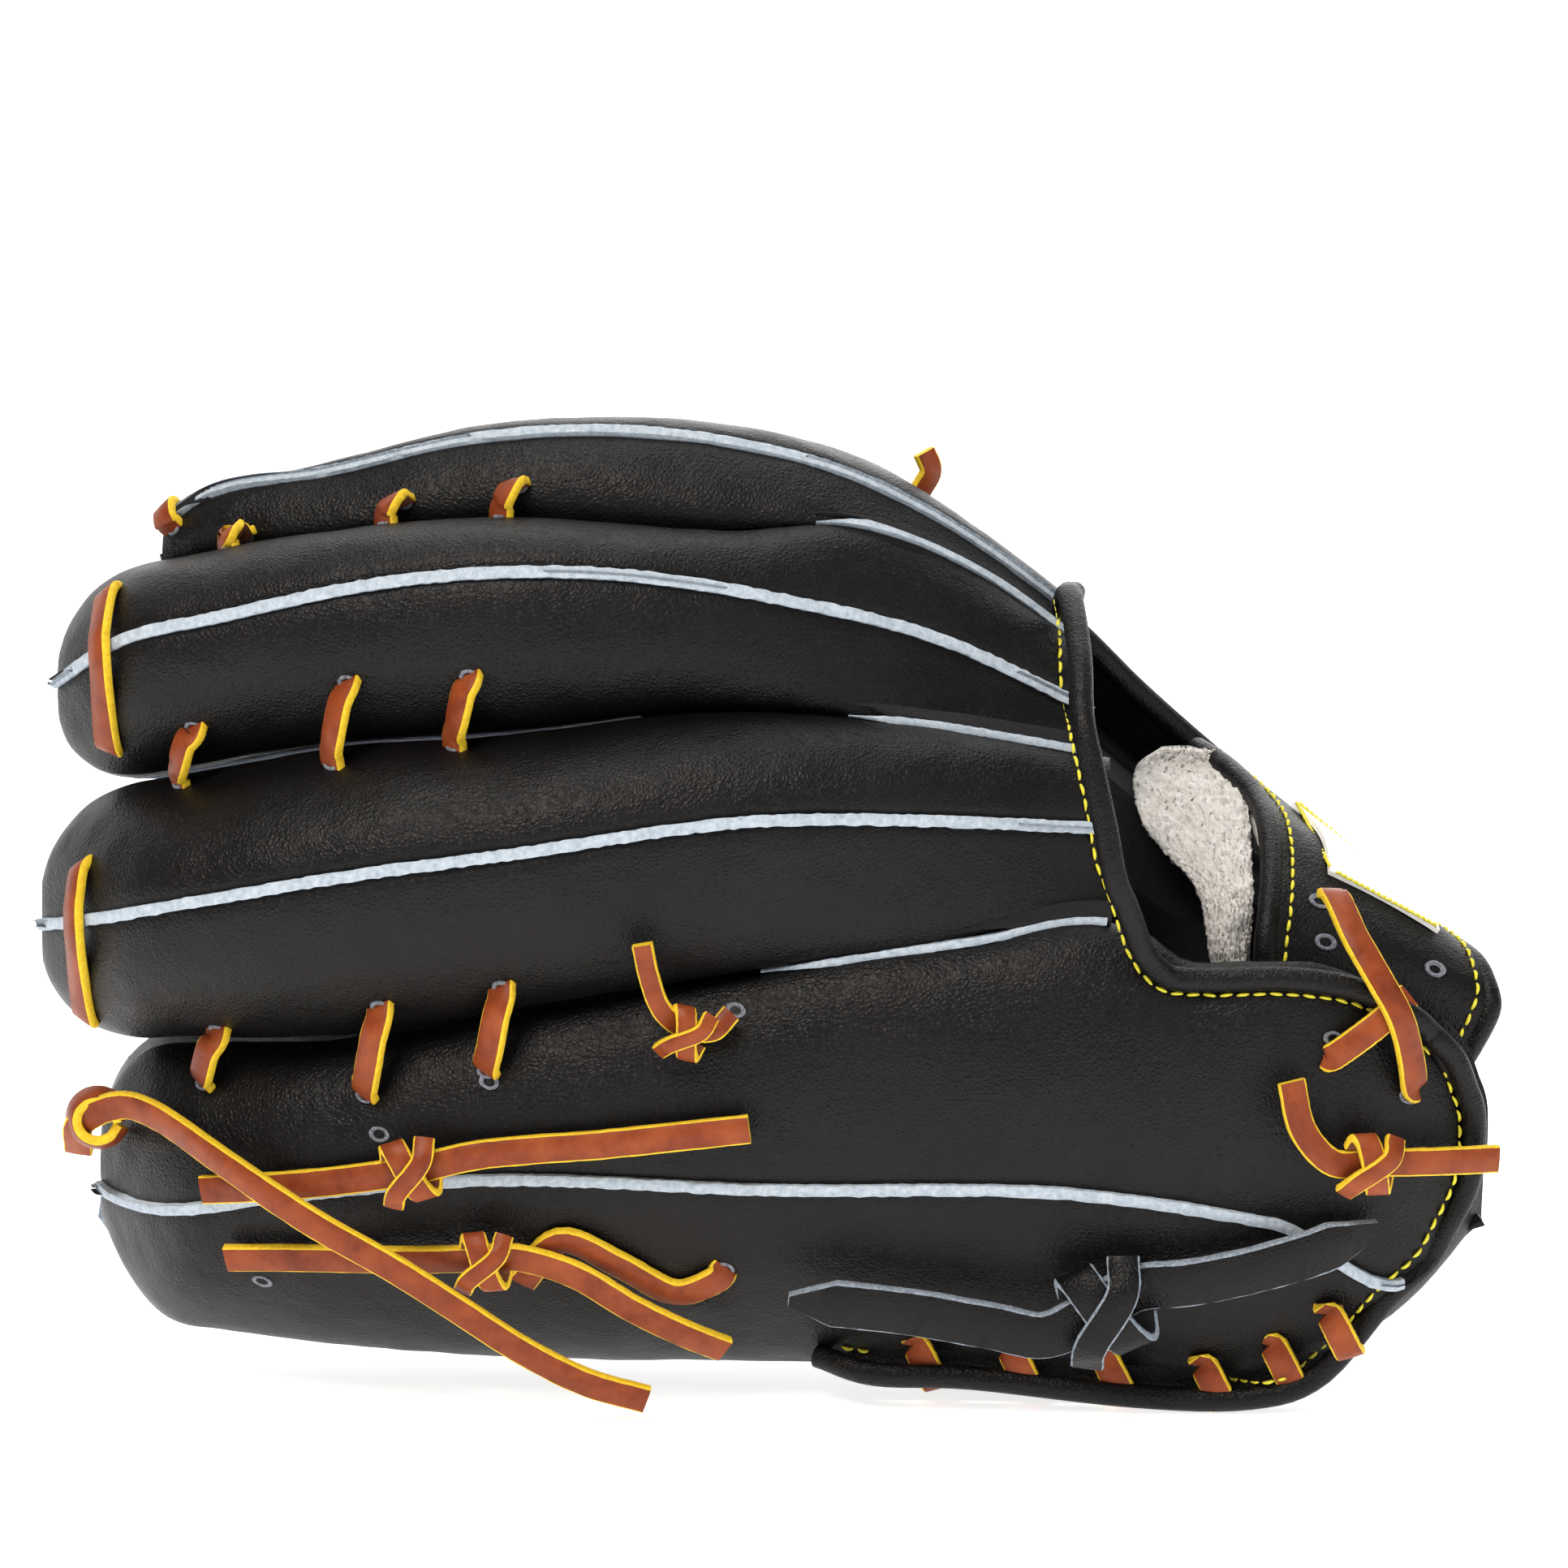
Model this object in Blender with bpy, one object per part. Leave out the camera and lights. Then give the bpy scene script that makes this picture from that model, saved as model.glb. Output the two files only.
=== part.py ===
"""Left-hand baseball fielder's glove, standing on its little-finger edge.

Millimetres below, metres in the meshes.  +X points from the fingertips to the wrist, +Z is up,
and -Y is the side that shows the back of the hand.  The origin is at the middle of the base.
"""
import math

import bpy
import bmesh
import numpy as np

MM = 0.001
ORIGIN = (4.0, 44.7, 0.0)  # the middle of the base, in the coordinates that the seams use

# Driving dimensions, in millimetres
SKIVED_LEATHER = 1.2  # pared thin where the panel turns tightly
SKIVED = ("thumb_back_lower", "thumb_back_upper")
BACK_LEATHER = 2.1        # thickness of the back panels
PALM_LEATHER = 3.0        # thickness of the palm leather
FELT = 6.0                # thickness of the finger pads
SEAM = 2.2                # half of the space that a welt needs between two panels
WELT_WIDTH = 2.0
WELT_TALL = 3.2
WELT_PROUD = 1.3          # how far a welt stands out of the leather
STALL_WALL = 9.0          # depth of the wall between two finger stalls
LACE_WIDTH = 6.3
LACE_THICK = 2.2
BINDING_WIDTH = 7.0
BINDING_THICK = 5.0
GAP = 0.4                 # clearance between touching pieces
TIP_CUT = 4.0             # how far the panels stop short of a fingertip
WELT_END = 144.0
GRID_X = 15               # stations along a panel
GRID_T = 6                # points across a panel

PALM_ASIDE = 1.3          # half of a slit between two palm fingers
PALM_BULGE = 2.0
FOLD_ROOM = 9.0           # space at the crease of the pocket, so that the thumb side can fold
FELT_CLEAR = 3.0          # from the palm leather's seam depth to a finger pad's back
STRAP_LEATHER = 3.0
WOOL = 7.0
LABEL = 1.0

# Material name: colour and roughness
MATERIALS = {
    "black_leather": ((0.012, 0.012, 0.014), 0.42),
    "welt_leather": ((0.52, 0.58, 0.64), 0.9),
    "lace_leather": ((0.30, 0.075, 0.03), 0.5),
    "wool": ((0.80, 0.77, 0.72), 1.0),
    "felt": ((0.55, 0.53, 0.50), 1.0),
    "label": ((0.85, 0.85, 0.83), 0.8),
}

# Seams of the finger bank: (x, y, z) from the fingertips to the wrist
PINKY_EDGE = [(-147, 38, 17), (-140, 38, 13), (-120, 38, 10), (-60, 34, 5), (-8, 28, 5), (45, 10, 6),
              (81, -2, 6), (105, -9, 7), (121, -9, 11), (136, -8, 20), (146, -9, 30)]
PINKY_RIDGE = [(-147, 14, 40), (-131, -8, 43), (-110, -20, 48), (-66, -29, 54), (3, -34, 53),
               (70, -35, 52), (110, -31, 45), (146, -21, 35), (152, -18, 44), (157, -15, 58)]
PINKY_TOP = [(-131, 12, 78), (-90, -10, 83), (-60, -17, 89), (-1, -25, 100), (45, -26, 107),
             (74, -24, 111), (82, -24, 109), (90, -25, 103.5), (105, -27, 103), (118, -27, 103),
             (131, -26, 98), (144, -22, 89), (152, -18, 80), (157, -15, 64)]
RING_RIDGE = [(-160, 8, 103), (-143, -16, 110), (-118, -31, 117), (-90, -38, 123), (-57, -41, 128),
              (-2, -38, 135), (45, -28, 133), (74, -19, 130)]
RING_TOP = [(-136, 16, 135), (-90, -3, 146), (-60, -9, 149), (-8, -13, 155), (32, -12, 152), (74, -6, 144)]
MIDDLE_RIDGE = [(-156, 18, 157), (-143, 2, 167), (-118, -9, 175), (-80, -17, 184), (-36, -19, 186),
                (5, -13, 179), (37, -1, 169), (70, 10, 152)]
MIDDLE_TOP = [(-134, 34, 179), (-96, 16, 189), (-60, 9, 193), (-11, 6, 191), (24, 9, 191),
              (48, 19, 179), (69, 26, 163)]
INDEX_RIDGE = [(-141, 44, 181), (-128, 35, 193), (-96, 25, 202), (-58, 18, 211), (-11, 17, 210),
               (21, 20, 201), (48, 27, 185), (67, 33, 170)]
INDEX_EDGE = [(-136, 60, 163), (-120, 57, 174), (-96, 54, 184), (-58, 50, 194), (-11, 48, 198), (21, 48, 194),
              (48, 50, 177), (67, 50, 166)]

# Seams of the thumb, which faces +Y
THUMB_TOP = [(-112, 112, 128), (-90, 104, 146), (-57, 97, 158), (-25, 88, 168), (0, 74, 180),
             (15, 62, 189), (30, 57, 186), (48, 57, 174), (67, 59, 162), (83, 62, 146), (110, 66, 122),
             (140, 60, 100)]
THUMB_RIDGE = [(-122, 120, 114), (-90, 126, 119), (-57, 130, 122), (0, 128, 128), (50, 118, 122),
               (90, 108, 102), (130, 94, 76), (142, 86, 66)]
THUMB_EDGE = [(-112, 112, 98), (-90, 106, 86), (-57, 102, 74), (-11, 101, 56), (30, 101, 34),
              (60, 100, 10), (90, 94, 4), (115, 84, 10), (134, 74, 30), (142, 70, 44)]


# Palm leather of each finger: where it ends, its depths below the seams (low and high edge, at the
# finger and at the hand), and its last two points at the wrist
PALM_REACH = {
    "pinky": (140.0, (3.5, 12.0, 3.5, 34.0), ((136, 2, 24), (146, 14, 62))),
    "ring": (140.0, (12.0, 12.0, 34.0, 34.0), ((146, 15, 63), (145, 26, 72))),
    "middle": (136.0, (12.0, 12.0, 34.0, 32.0), ((145, 27, 73), (141, 36, 77))),
    "index": (126.0, (12.0, 6.0, 32.0, 30.0), ((140, 37, 78), (134, 44, 80))),
    "thumb": (128.0, (4.0, 12.0, 4.0, 22.0), ((128, 68, 34), (128, 64, 78))),
}

# Edges of the wrist strap, from under the little-finger panel, over the top, to the thumb side
STRAP_LEFT = [(109, -19, 86), (109, -19, 103), (110, -15, 111), (111, -6, 119), (111, 8, 127), (109, 22, 131),
              (103, 38, 135), (97, 50, 137)]
STRAP_RIGHT = [(149, -9, 70), (155, -9.5, 80), (159, -9, 89), (158, -3, 95), (155.6, 5, 98), (150, 20, 99),
               (144, 34, 99), (139, 45, 98)]
RIM = [(70, 47, 174), (73.5, 36, 168), (76, 20, 158), (76.5, 3, 147), (79, -11, 133), (83, -18, 119),
       (87.5, -22.5, 113), (95, -25, 110), (105, -25.5, 108.5), (118, -25.5, 108.5), (132, -24.5, 103.5),
       (146, -20.5, 94)]
HEEL = [(123.5, -12, 4), (139, -12, 15), (150.5, -13, 26), (160.5, -14, 42), (162.5, -13, 60), (159.5, -14.5, 76),
        (155, -16.5, 86)]
HEEL_ROLL = [(34, 14, 2.5), (60, 6, 2.5), (85, -2.5, 2.5), (108, -8, 2.5)]
HEEL_LOOPS = [(36, -11, 7), (56.5, -14, 7), (77.3, -14, 4.8), (99, -16, 3.6), (114, -17, 8.5), (126, -24, 17)]

# Knotted laces and ties: route, broad side's normal, width, and (place, growth) of the knot
TIES = {
    "pinky_long_tail": ([(-152, 13, 52), (-151, 4, 60), (-142, -1, 65), (-133, -9, 64), (-119, -25, 58),
                         (-107, -33.5, 51.5), (-96, -36.5, 45), (-81.5, -36, 36.5), (-67.5, -34, 27),
                         (-53.5, -31, 17), (-39.5, -28, 9), (-26, -26, 4.6)], (-0.1, -0.9, -0.2), 6.3, None),
    "pinky_tie_upper": ([(-123, -17, 49.5), (-108, -26, 52), (-95, -30, 54), (-84, -33, 56), (-75, -35, 58),
                         (-64, -36.5, 61), (-52, -37, 62.5), (-36, -38.5, 64), (-20, -40, 66), (-3.5, -41, 68)],
                        (-0.1, -1.0, 0.0), 6.3, (0.47, 0.9)),
    "pinky_tie_lower": ([(-118, -16, 34), (-105, -20.5, 35), (-90, -24, 35.5), (-75, -27, 36), (-63, -30, 37),
                         (-53, -30, 37), (-41, -29.5, 33), (-29, -26.5, 25), (-18, -24, 19), (-9, -20, 14.5)],
                        (-0.1, -0.93, -0.35), 6.3, (0.45, 0.9)),
    "crease_tie": ([(-26.5, -43, 109), (-25, -42, 101.5), (-22.5, -41, 94.5), (-18, -38.5, 90), (-11.5, -38.5, 89),
                    (-7.5, -36.5, 92.5)], (-0.1, -0.98, 0.1), 4.5, (0.68, 0.8)),
    "wrist_tie": ([(113.5, -41, 78.5), (116, -41, 68), (122.5, -40, 60.5), (131.5, -38, 60), (143, -35, 59.5),
                   (152, -31, 59), (159, -27, 58.5)], (0.2, -0.97, 0.0), 6.0, (0.46, 0.8)),
    "pinky_strap_tie": ([(5, -35, 29), (18, -34, 27.5), (33, -33, 25.5), (49, -32.5, 22.5), (61, -32.5, 20.5),
                         (71.5, -34, 26), (80.5, -35, 31.5), (92, -36.5, 33), (106, -37, 36), (120, -36, 40),
                         (133, -33.5, 45)], (0.0, -0.95, -0.3), 11.0, (0.5, 0.5)),
    "strap_lace_low": ([(122, -38, 82.5), (129.5, -36.5, 88), (133, -35, 91)], (0.2, -0.95, 0.2), 6.0, None),
    "strap_lace_high": ([(140.5, -33, 74), (139.5, -34.5, 83), (137, -36.5, 92), (132, -35, 101), (127.5, -32, 108.5), (124, -25, 116)],
                        (0.3, -0.9, 0.3), 6.0, None),
}


def line(points):
    """A smooth curve through points that run along X, read at any x."""
    pts = np.array(points, dtype=float)
    xs = pts[:, 0]
    slopes = np.gradient(pts[:, 1:], xs, axis=0)

    def at(x):
        k = int(np.clip(np.searchsorted(xs, x) - 1, 0, len(xs) - 2))
        step = xs[k + 1] - xs[k]
        u = (x - xs[k]) / step
        if u < 0.0 or u > 1.0:
            end = 0 if u < 0.0 else len(xs) - 1
            yz = pts[end, 1:] + slopes[end] * (x - xs[end])
        else:
            a = (1 + 2 * u) * (1 - u) ** 2
            b = u * (1 - u) ** 2 * step
            c = u * u * (3 - 2 * u)
            d = u * u * (u - 1) * step
            yz = a * pts[k, 1:] + b * slopes[k] + c * pts[k + 1, 1:] + d * slopes[k + 1]
        return np.array((x, yz[0], yz[1]))
    return at


def unit(v):
    return np.array(v, dtype=float) / np.linalg.norm(v)


def outward(angle, side=-1.0):
    """The way a ridge faces: angle in degrees above the horizontal, side -1 front or +1 thumb."""
    a = math.radians(angle)
    return np.array((0.0, side * math.cos(a), math.sin(a)))


class Stall:
    """One finger: two panels that rise from its edges to the ridge, closed round at the tip."""

    def __init__(self, low, ridge, high, angle, tip, round_length, wrist, walls, side=-1.0):
        self.walls = [outward(walls[0], side), outward(walls[1], side)]
        self.low = line(low)
        self.ridge = line(ridge)
        self.high = line(high)
        self.out = outward(angle, side)
        self.tip = tip
        self.cut = TIP_CUT if angle < 50 else 4.5 * TIP_CUT
        self.round_length = round_length
        self.wrist = wrist

    def close(self, x):
        """1 along the finger, falling round to nothing at the tip."""
        u = (self.tip + self.round_length - x) / self.round_length
        return (1.0 - min(max(u, 0.0), 0.97) ** 2.4) ** (1 / 2.4)

    def core(self, x):
        low = self.low(x)
        high = self.high(x)
        return 0.5 * (low + high) * 0.55 + self.ridge(x) * 0.45

    def edge(self, x, upper):
        core = self.core(x)
        point = self.high(x) if upper else self.low(x)
        return core + (point - core) * self.close(x)

    def crest(self, x):
        core = self.core(x)
        return core + (self.ridge(x) - core) * self.close(x)

    def inset(self, x, upper):
        """The way from an edge towards the finger's middle, square to the stall's side wall."""
        into = self.walls[1 if upper else 0]
        way = self.high(x) - self.low(x)
        way = way * (-1.0 if upper else 1.0)
        return unit(way - into * np.dot(way, into))

    def foot(self, x, upper, depth, aside):
        """A point inside the glove, depth below an edge and aside from its wall."""
        into = self.walls[1 if upper else 0]
        return self.edge(x, upper) - into * depth + self.inset(x, upper) * aside

    def point(self, x, upper, t):
        """On the leather: t is 0 at the panel's outer edge and 1 on the ridge."""
        edge = self.edge(x, upper)
        crest = self.crest(x)
        rise = crest - edge
        bulge = np.dot(rise, self.out)
        along = rise - self.out * bulge
        angle = 0.5 * math.pi * t
        return edge + along * (1 - math.cos(angle)) + self.out * bulge * math.sin(angle)


STALLS = {
    "pinky": Stall(PINKY_EDGE, PINKY_RIDGE, PINKY_TOP, -14, -148.5, 22, 157, (-20, -5)),
    "ring": Stall(PINKY_TOP, RING_RIDGE, RING_TOP, 4, -160.5, 26, 75, (-5, 14)),
    "middle": Stall(RING_TOP, MIDDLE_RIDGE, MIDDLE_TOP, 24, -157, 24, 71, (14, 41)),
    "index": Stall(MIDDLE_TOP, INDEX_RIDGE, INDEX_EDGE, 58, -143, 22, 67, (41, 85)),
    "thumb": Stall(THUMB_EDGE, THUMB_RIDGE, THUMB_TOP, 10, -122, 26, 141, (-15, 75), side=1.0),
}


def material(name):
    found = bpy.data.materials.get(name)
    if found:
        return found
    colour, roughness = MATERIALS[name]
    made = bpy.data.materials.new(name)
    made.use_nodes = True
    shader = made.node_tree.nodes["Principled BSDF"]
    shader.inputs["Base Color"].default_value = (*colour, 1.0)
    shader.inputs["Roughness"].default_value = roughness
    made.diffuse_color = (*colour, 1.0)
    return made


def node(name, verts, faces, finish):
    """A new object from vertices in millimetres."""
    mesh = bpy.data.meshes.new(name)
    mesh.from_pydata([tuple((float(c) - o) * MM for c, o in zip(v, ORIGIN)) for v in verts], [], faces)
    mesh.validate()
    work = bmesh.new()
    work.from_mesh(mesh)
    bmesh.ops.recalc_face_normals(work, faces=work.faces)
    if work.calc_volume(signed=True) < 0:
        bmesh.ops.reverse_faces(work, faces=work.faces)
    bmesh.ops.triangulate(work, faces=work.faces)
    work.to_mesh(mesh)
    work.free()
    mesh.shade_smooth()
    mesh.set_sharp_from_angle(angle=math.radians(40))
    made = bpy.data.objects.new(name, mesh)
    made.data.materials.append(material(finish))
    bpy.context.scene.collection.objects.link(made)
    return made


def grid_normals(grid):
    """Unit normals of a grid of points, from its rows and columns."""
    along = np.gradient(grid, axis=0)
    across = np.gradient(grid, axis=1)
    normals = np.cross(along, across)
    return normals / np.linalg.norm(normals, axis=2, keepdims=True)


def sheet(name, outer, thickness, inward, finish, skip=()):
    """A closed solid between a grid of points and its copy moved inward."""
    grid = np.array(outer, dtype=float)
    normals = grid_normals(grid)
    flip = np.sign(np.sum(normals * inward, axis=2).mean())
    inner = grid + normals * flip * thickness
    rows, cols = grid.shape[:2]
    count = rows * cols

    def index(i, j, layer):
        return layer * count + i * cols + j
    faces = []
    cells = {(i, j) for i in range(rows - 1) for j in range(cols - 1)} - set(skip)
    for i, j in sorted(cells):
        quad = [(i, j), (i + 1, j), (i + 1, j + 1), (i, j + 1)]
        faces.append([index(a, b, 0) for a, b in quad])
        faces.append([index(a, b, 1) for a, b in reversed(quad)])
        beside = [(i, j - 1), (i + 1, j), (i, j + 1), (i - 1, j)]
        for k in range(4):
            if beside[k] not in cells:
                a, b = quad[k], quad[(k + 1) % 4]
                faces.append([index(*b, 0), index(*a, 0), index(*a, 1), index(*b, 1)])
    verts = np.concatenate((grid.reshape(-1, 3), inner.reshape(-1, 3)))
    used = sorted({v for face in faces for v in face})
    place = {v: k for k, v in enumerate(used)}
    return node(name, verts[used], [[place[v] for v in face] for face in faces], finish)


def smooth_path(points, count):
    """count points on a Catmull-Rom curve through points."""
    pts = np.array(points, dtype=float)
    ends = np.vstack((2 * pts[0] - pts[1], pts, 2 * pts[-1] - pts[-2]))
    out = []
    for s in np.linspace(0, len(pts) - 1, count):
        k = min(int(s), len(pts) - 2)
        u = s - k
        p0, p1, p2, p3 = ends[k:k + 4]
        out.append(0.5 * (2 * p1 + (p2 - p0) * u + (2 * p0 - 5 * p1 + 4 * p2 - p3) * u ** 2
                          + (3 * p1 - p0 - 3 * p2 + p3) * u ** 3))
    return np.array(out)


def strip(name, path, faces_out, width, thickness, finish, scale=None):
    """A flat strip of rectangular section swept along a path; faces_out is its broad side's normal."""
    path = np.array(path, dtype=float)
    tangents = np.gradient(path, axis=0)
    faces_out = np.broadcast_to(np.array(faces_out, dtype=float), path.shape)
    verts = []
    for k, point in enumerate(path):
        along = unit(tangents[k])
        across = unit(np.cross(along, faces_out[k]))
        up = np.cross(across, along)
        grow = 1.0 if scale is None else scale[k]
        for a, b in ((-1, -1), (1, -1), (1, 1), (-1, 1)):
            verts.append(point + across * a * width * grow / 2 + up * b * thickness * grow / 2)
    quads = [[4 * k + c, 4 * k + (c + 1) % 4, 4 * k + 4 + (c + 1) % 4, 4 * k + 4 + c]
             for k in range(len(path) - 1) for c in range(4)]
    last = 4 * (len(path) - 1)
    quads.append([3, 2, 1, 0])
    quads.append([last, last + 1, last + 2, last + 3])
    return node(name, verts, quads, finish)


def panel(name, stall, upper, start, end, wall_depth):
    """One back panel of a finger, from its edge, where a side wall may hang, to the ridge welt."""
    rows = []
    for s in np.linspace(0.0, 1.0, GRID_X):
        x = start + (end - start) * s
        profile = [stall.point(x, upper, t) for t in np.linspace(0.0, 1.0, GRID_T)]
        into = stall.walls[1 if upper else 0]
        shift = stall.inset(x, upper) * SEAM * 0.7
        foot = [profile[0] - into * wall_depth(x) + shift] if wall_depth else []
        profile[0] = profile[0] + shift
        back = unit(profile[-2] - profile[-1])
        profile[-1] = profile[-1] + back * SEAM
        rows.append(foot + profile)
    grid = np.array(rows)
    inward = -np.array(stall.out)
    leather = SKIVED_LEATHER if name in SKIVED else BACK_LEATHER
    return sheet(name, grid, leather, inward, "black_leather")


def clear_scene():
    for existing in list(bpy.data.objects):
        bpy.data.objects.remove(existing, do_unlink=True)


def wall(x):
    """Side walls run between the stalls and end where the hand's space begins."""
    return 0.8 + STALL_WALL * min(max((12.0 - x) / 24.0, 0.0), 1.0)


def hem(x):
    """The outer fingers' panels end in a short hem at the glove's open edge."""
    return 0.8


def make_panels(finger, stall):
    start = stall.tip + stall.cut
    rim = {"pinky": hem, "thumb": hem, "index": None}.get(finger, wall)
    panel(finger + "_back_lower", stall, False, start, stall.wrist, rim)
    panel(finger + "_back_upper", stall, True, start, stall.wrist, hem if finger == "index" else wall)


def ridge_welt(finger, stall):
    """The strip of raw leather sewn between a finger's two panels."""
    xs = [x for x in np.linspace(stall.tip + stall.cut, stall.wrist, GRID_X) if x < WELT_END]
    path = [stall.crest(x) + stall.out * (WELT_PROUD - WELT_TALL / 2) for x in xs]
    strip(finger + "_welt", path, stall.out, WELT_WIDTH, WELT_TALL, "welt_leather")


def crease_welt(name, edge, start, end, out):
    seam = line(edge)
    out = np.array(out)
    path = [seam(x) + out * 3.3 for x in np.linspace(start, end, 8)]
    strip(name, path, out, 0.9, 2.0, "welt_leather")


def ease(x, start, end):
    u = min(max((x - start) / (end - start), 0.0), 1.0)
    return u * u * (3.0 - 2.0 * u)


def palm_depth(x, edge_depth, hand_depth):
    return edge_depth + (hand_depth - edge_depth) * ease(x, -5.0, 60.0)


def palm_columns(stall, s, reach, depths, wrist_points):
    """Low edge, middle and high edge of the palm leather behind one finger."""
    start = stall.tip + stall.cut + 1.0
    x = start + (reach - start) * s
    near = min(x, stall.wrist)
    low = stall.foot(near, False, palm_depth(near, depths[0], depths[2]), PALM_ASIDE)
    aside = PALM_ASIDE + (FOLD_ROOM * ease(x, -20.0, 20.0) if stall is STALLS["thumb"] else 0.0)
    high = stall.foot(near, True, palm_depth(near, depths[1], depths[3]), aside)
    if x > near:
        u = (x - near) / (reach - near)
        low = low + (np.array(wrist_points[0]) - low) * u
        high = high + (np.array(wrist_points[1]) - high) * u
    middle = (low + high) / 2 - stall.out * PALM_BULGE
    return [low, middle, high]


def palm_sheet(name, fingers, rows, slit_rows):
    """The palm leather of one side of the glove, slit between the fingers."""
    grid = []
    for s in np.linspace(0.0, 1.0, rows):
        grid.append([p for finger in fingers
                     for p in palm_columns(STALLS[finger], s, *PALM_REACH[finger])])
    skip = [(i, 3 * k + 2) for k in range(len(fingers) - 1) for i in range(slit_rows)]
    inward = np.array((0.0, 1.0, 0.0)) * (-1.0 if fingers[0] == "thumb" else 1.0)
    sheet(name, grid, PALM_LEATHER, inward, "black_leather", skip)


def finger_felt(finger, stall, start, end):
    """The flat pad that a finger lies against, in front of the palm leather."""
    grid = []
    depths = PALM_REACH[finger][1]
    outer = finger in ("pinky", "thumb")
    for x in np.linspace(start, end, 7):
        low = stall.foot(x, False, depths[0] - FELT_CLEAR, 17.0 if outer else 6.0)
        high = stall.foot(x, True, depths[1] - FELT_CLEAR, 11.0 if finger == "index" else 6.0)
        grid.append([low, (low + high) / 2 - stall.out * 1.0, high])
    sheet(finger + "_felt", grid, FELT, stall.out, "felt")


def web_sheet():
    """The H-shaped web: two posts joined by a cross bar, laced to the index finger and the thumb."""
    index_edge = line(INDEX_EDGE)
    thumb_edge = line(THUMB_TOP)
    grid = []
    for x in np.linspace(-98.0, -14.0, 13):
        a = index_edge(x) + np.array((0.0, 4.5, -3.0))
        b = thumb_edge(x) + np.array((0.0, -3.5, 2.0))
        row = []
        for t in np.linspace(0.0, 1.0, 8):
            swell = np.array((0.0, 0.35, 1.0)) * 10.0 * math.sin(math.pi * t)
            row.append(a + (b - a) * t + swell)
        grid.append(row)
    windows = [(i, j) for i in (4, 5, 6, 7) for j in (1, 2, 4, 5)]
    sheet("web", grid, PALM_LEATHER, np.array((0.0, -0.5, -1.0)), "black_leather", windows)


def wrist_strap():
    left = smooth_path(STRAP_LEFT, 12)
    right = smooth_path(STRAP_RIGHT, 12)
    grid = np.array([[a + (b - a) * t for t in np.linspace(0.0, 1.0, 4)] for a, b in zip(left, right)])
    inward = np.array((-0.2, 0.6, -0.7))
    sheet("wrist_strap", grid, STRAP_LEATHER, inward, "black_leather")
    normals = grid_normals(grid)
    normals *= np.sign(np.sum(normals * inward, axis=2).mean())
    wool = grid + normals * (STRAP_LEATHER + GAP)
    wool = np.array([[a + (b - a) * t for t in (0.06, 0.35, 0.65, 0.92)]
                     for a, b in zip(wool[1:, 0], wool[1:, -1])])
    sheet("strap_wool", wool, WOOL, inward, "wool")
    patch = grid - normals * (GAP + LABEL)
    patch = np.array([[a + (b - a) * t for t in (0.25, 0.5, 0.75)] for a, b in zip(patch[6:10, 0], patch[6:10, -1])])
    sheet("strap_label", patch, LABEL, inward, "label")


def lace_bar(name, low, high, low_out, high_out, bow=2.2):
    """A lace that bridges the gap between two fingers, from hole to hole."""
    low = np.array(low, dtype=float)
    high = np.array(high, dtype=float)
    low_out = unit(low_out)
    high_out = unit(high_out)
    lift = LACE_THICK / 2 + GAP + 0.5
    mid_out = unit(low_out + high_out)
    points = [low + low_out * lift, low * 0.7 + high * 0.3 + mid_out * (lift + bow),
              low * 0.3 + high * 0.7 + mid_out * (lift + bow), high + high_out * lift]
    strip(name, smooth_path(points, 7), mid_out, LACE_WIDTH, LACE_THICK, "lace_leather")


def bridge(name, x, lower, upper, low_t, high_t, bow):
    """A lace from the upper panel of one finger to the lower panel of the next."""
    a = lower.point(x, True, low_t)
    b = upper.point(x, False, high_t)
    lace_bar(name, a, b, a - lower.core(x), b - upper.core(x), bow)


def flat_lace(name, points, out, width=LACE_WIDTH, thickness=LACE_THICK, count=14, finish="lace_leather",
              lump=None):
    """A loose lace or tie along its real route, thicker where it is knotted."""
    scale = None
    if lump:
        scale = [1.0 + lump[1] * math.exp(-((s - lump[0]) / 0.07) ** 2) for s in np.linspace(0, 1, count)]
    strip(name, smooth_path(points, count), out, width, thickness, finish, scale)


def crease_laces():
    pairs = (("pinky_ring", "pinky", "ring", (-121.0, -85.0, -58.5)),
             ("ring_middle", "ring", "middle", (-126.0, -92.0, -65.5)),
             ("middle_index", "middle", "index", (-116.0, -81.0, -55.7)))
    for name, low, high, places in pairs:
        for k, x in enumerate(places):
            bridge(f"lace_{name}_{k + 1}", x, STALLS[low], STALLS[high], 0.36, 0.36, 2.5)


def tip_laces():
    for finger, x in (("index", -130.0), ("middle", -143.5), ("ring", -149.0), ("thumb", -112.0)):
        stall = STALLS[finger]
        points = []
        for upper, t in ((False, 0.35), (False, 0.7), (False, 0.97), (True, 0.8), (True, 0.45)):
            p = stall.point(x, upper, t)
            points.append(p + unit(p - stall.core(x)) * (LACE_THICK / 2 + WELT_PROUD + GAP + 4.1))
        flat_lace(finger + "_tip_lace", points, stall.out, count=9)


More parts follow.
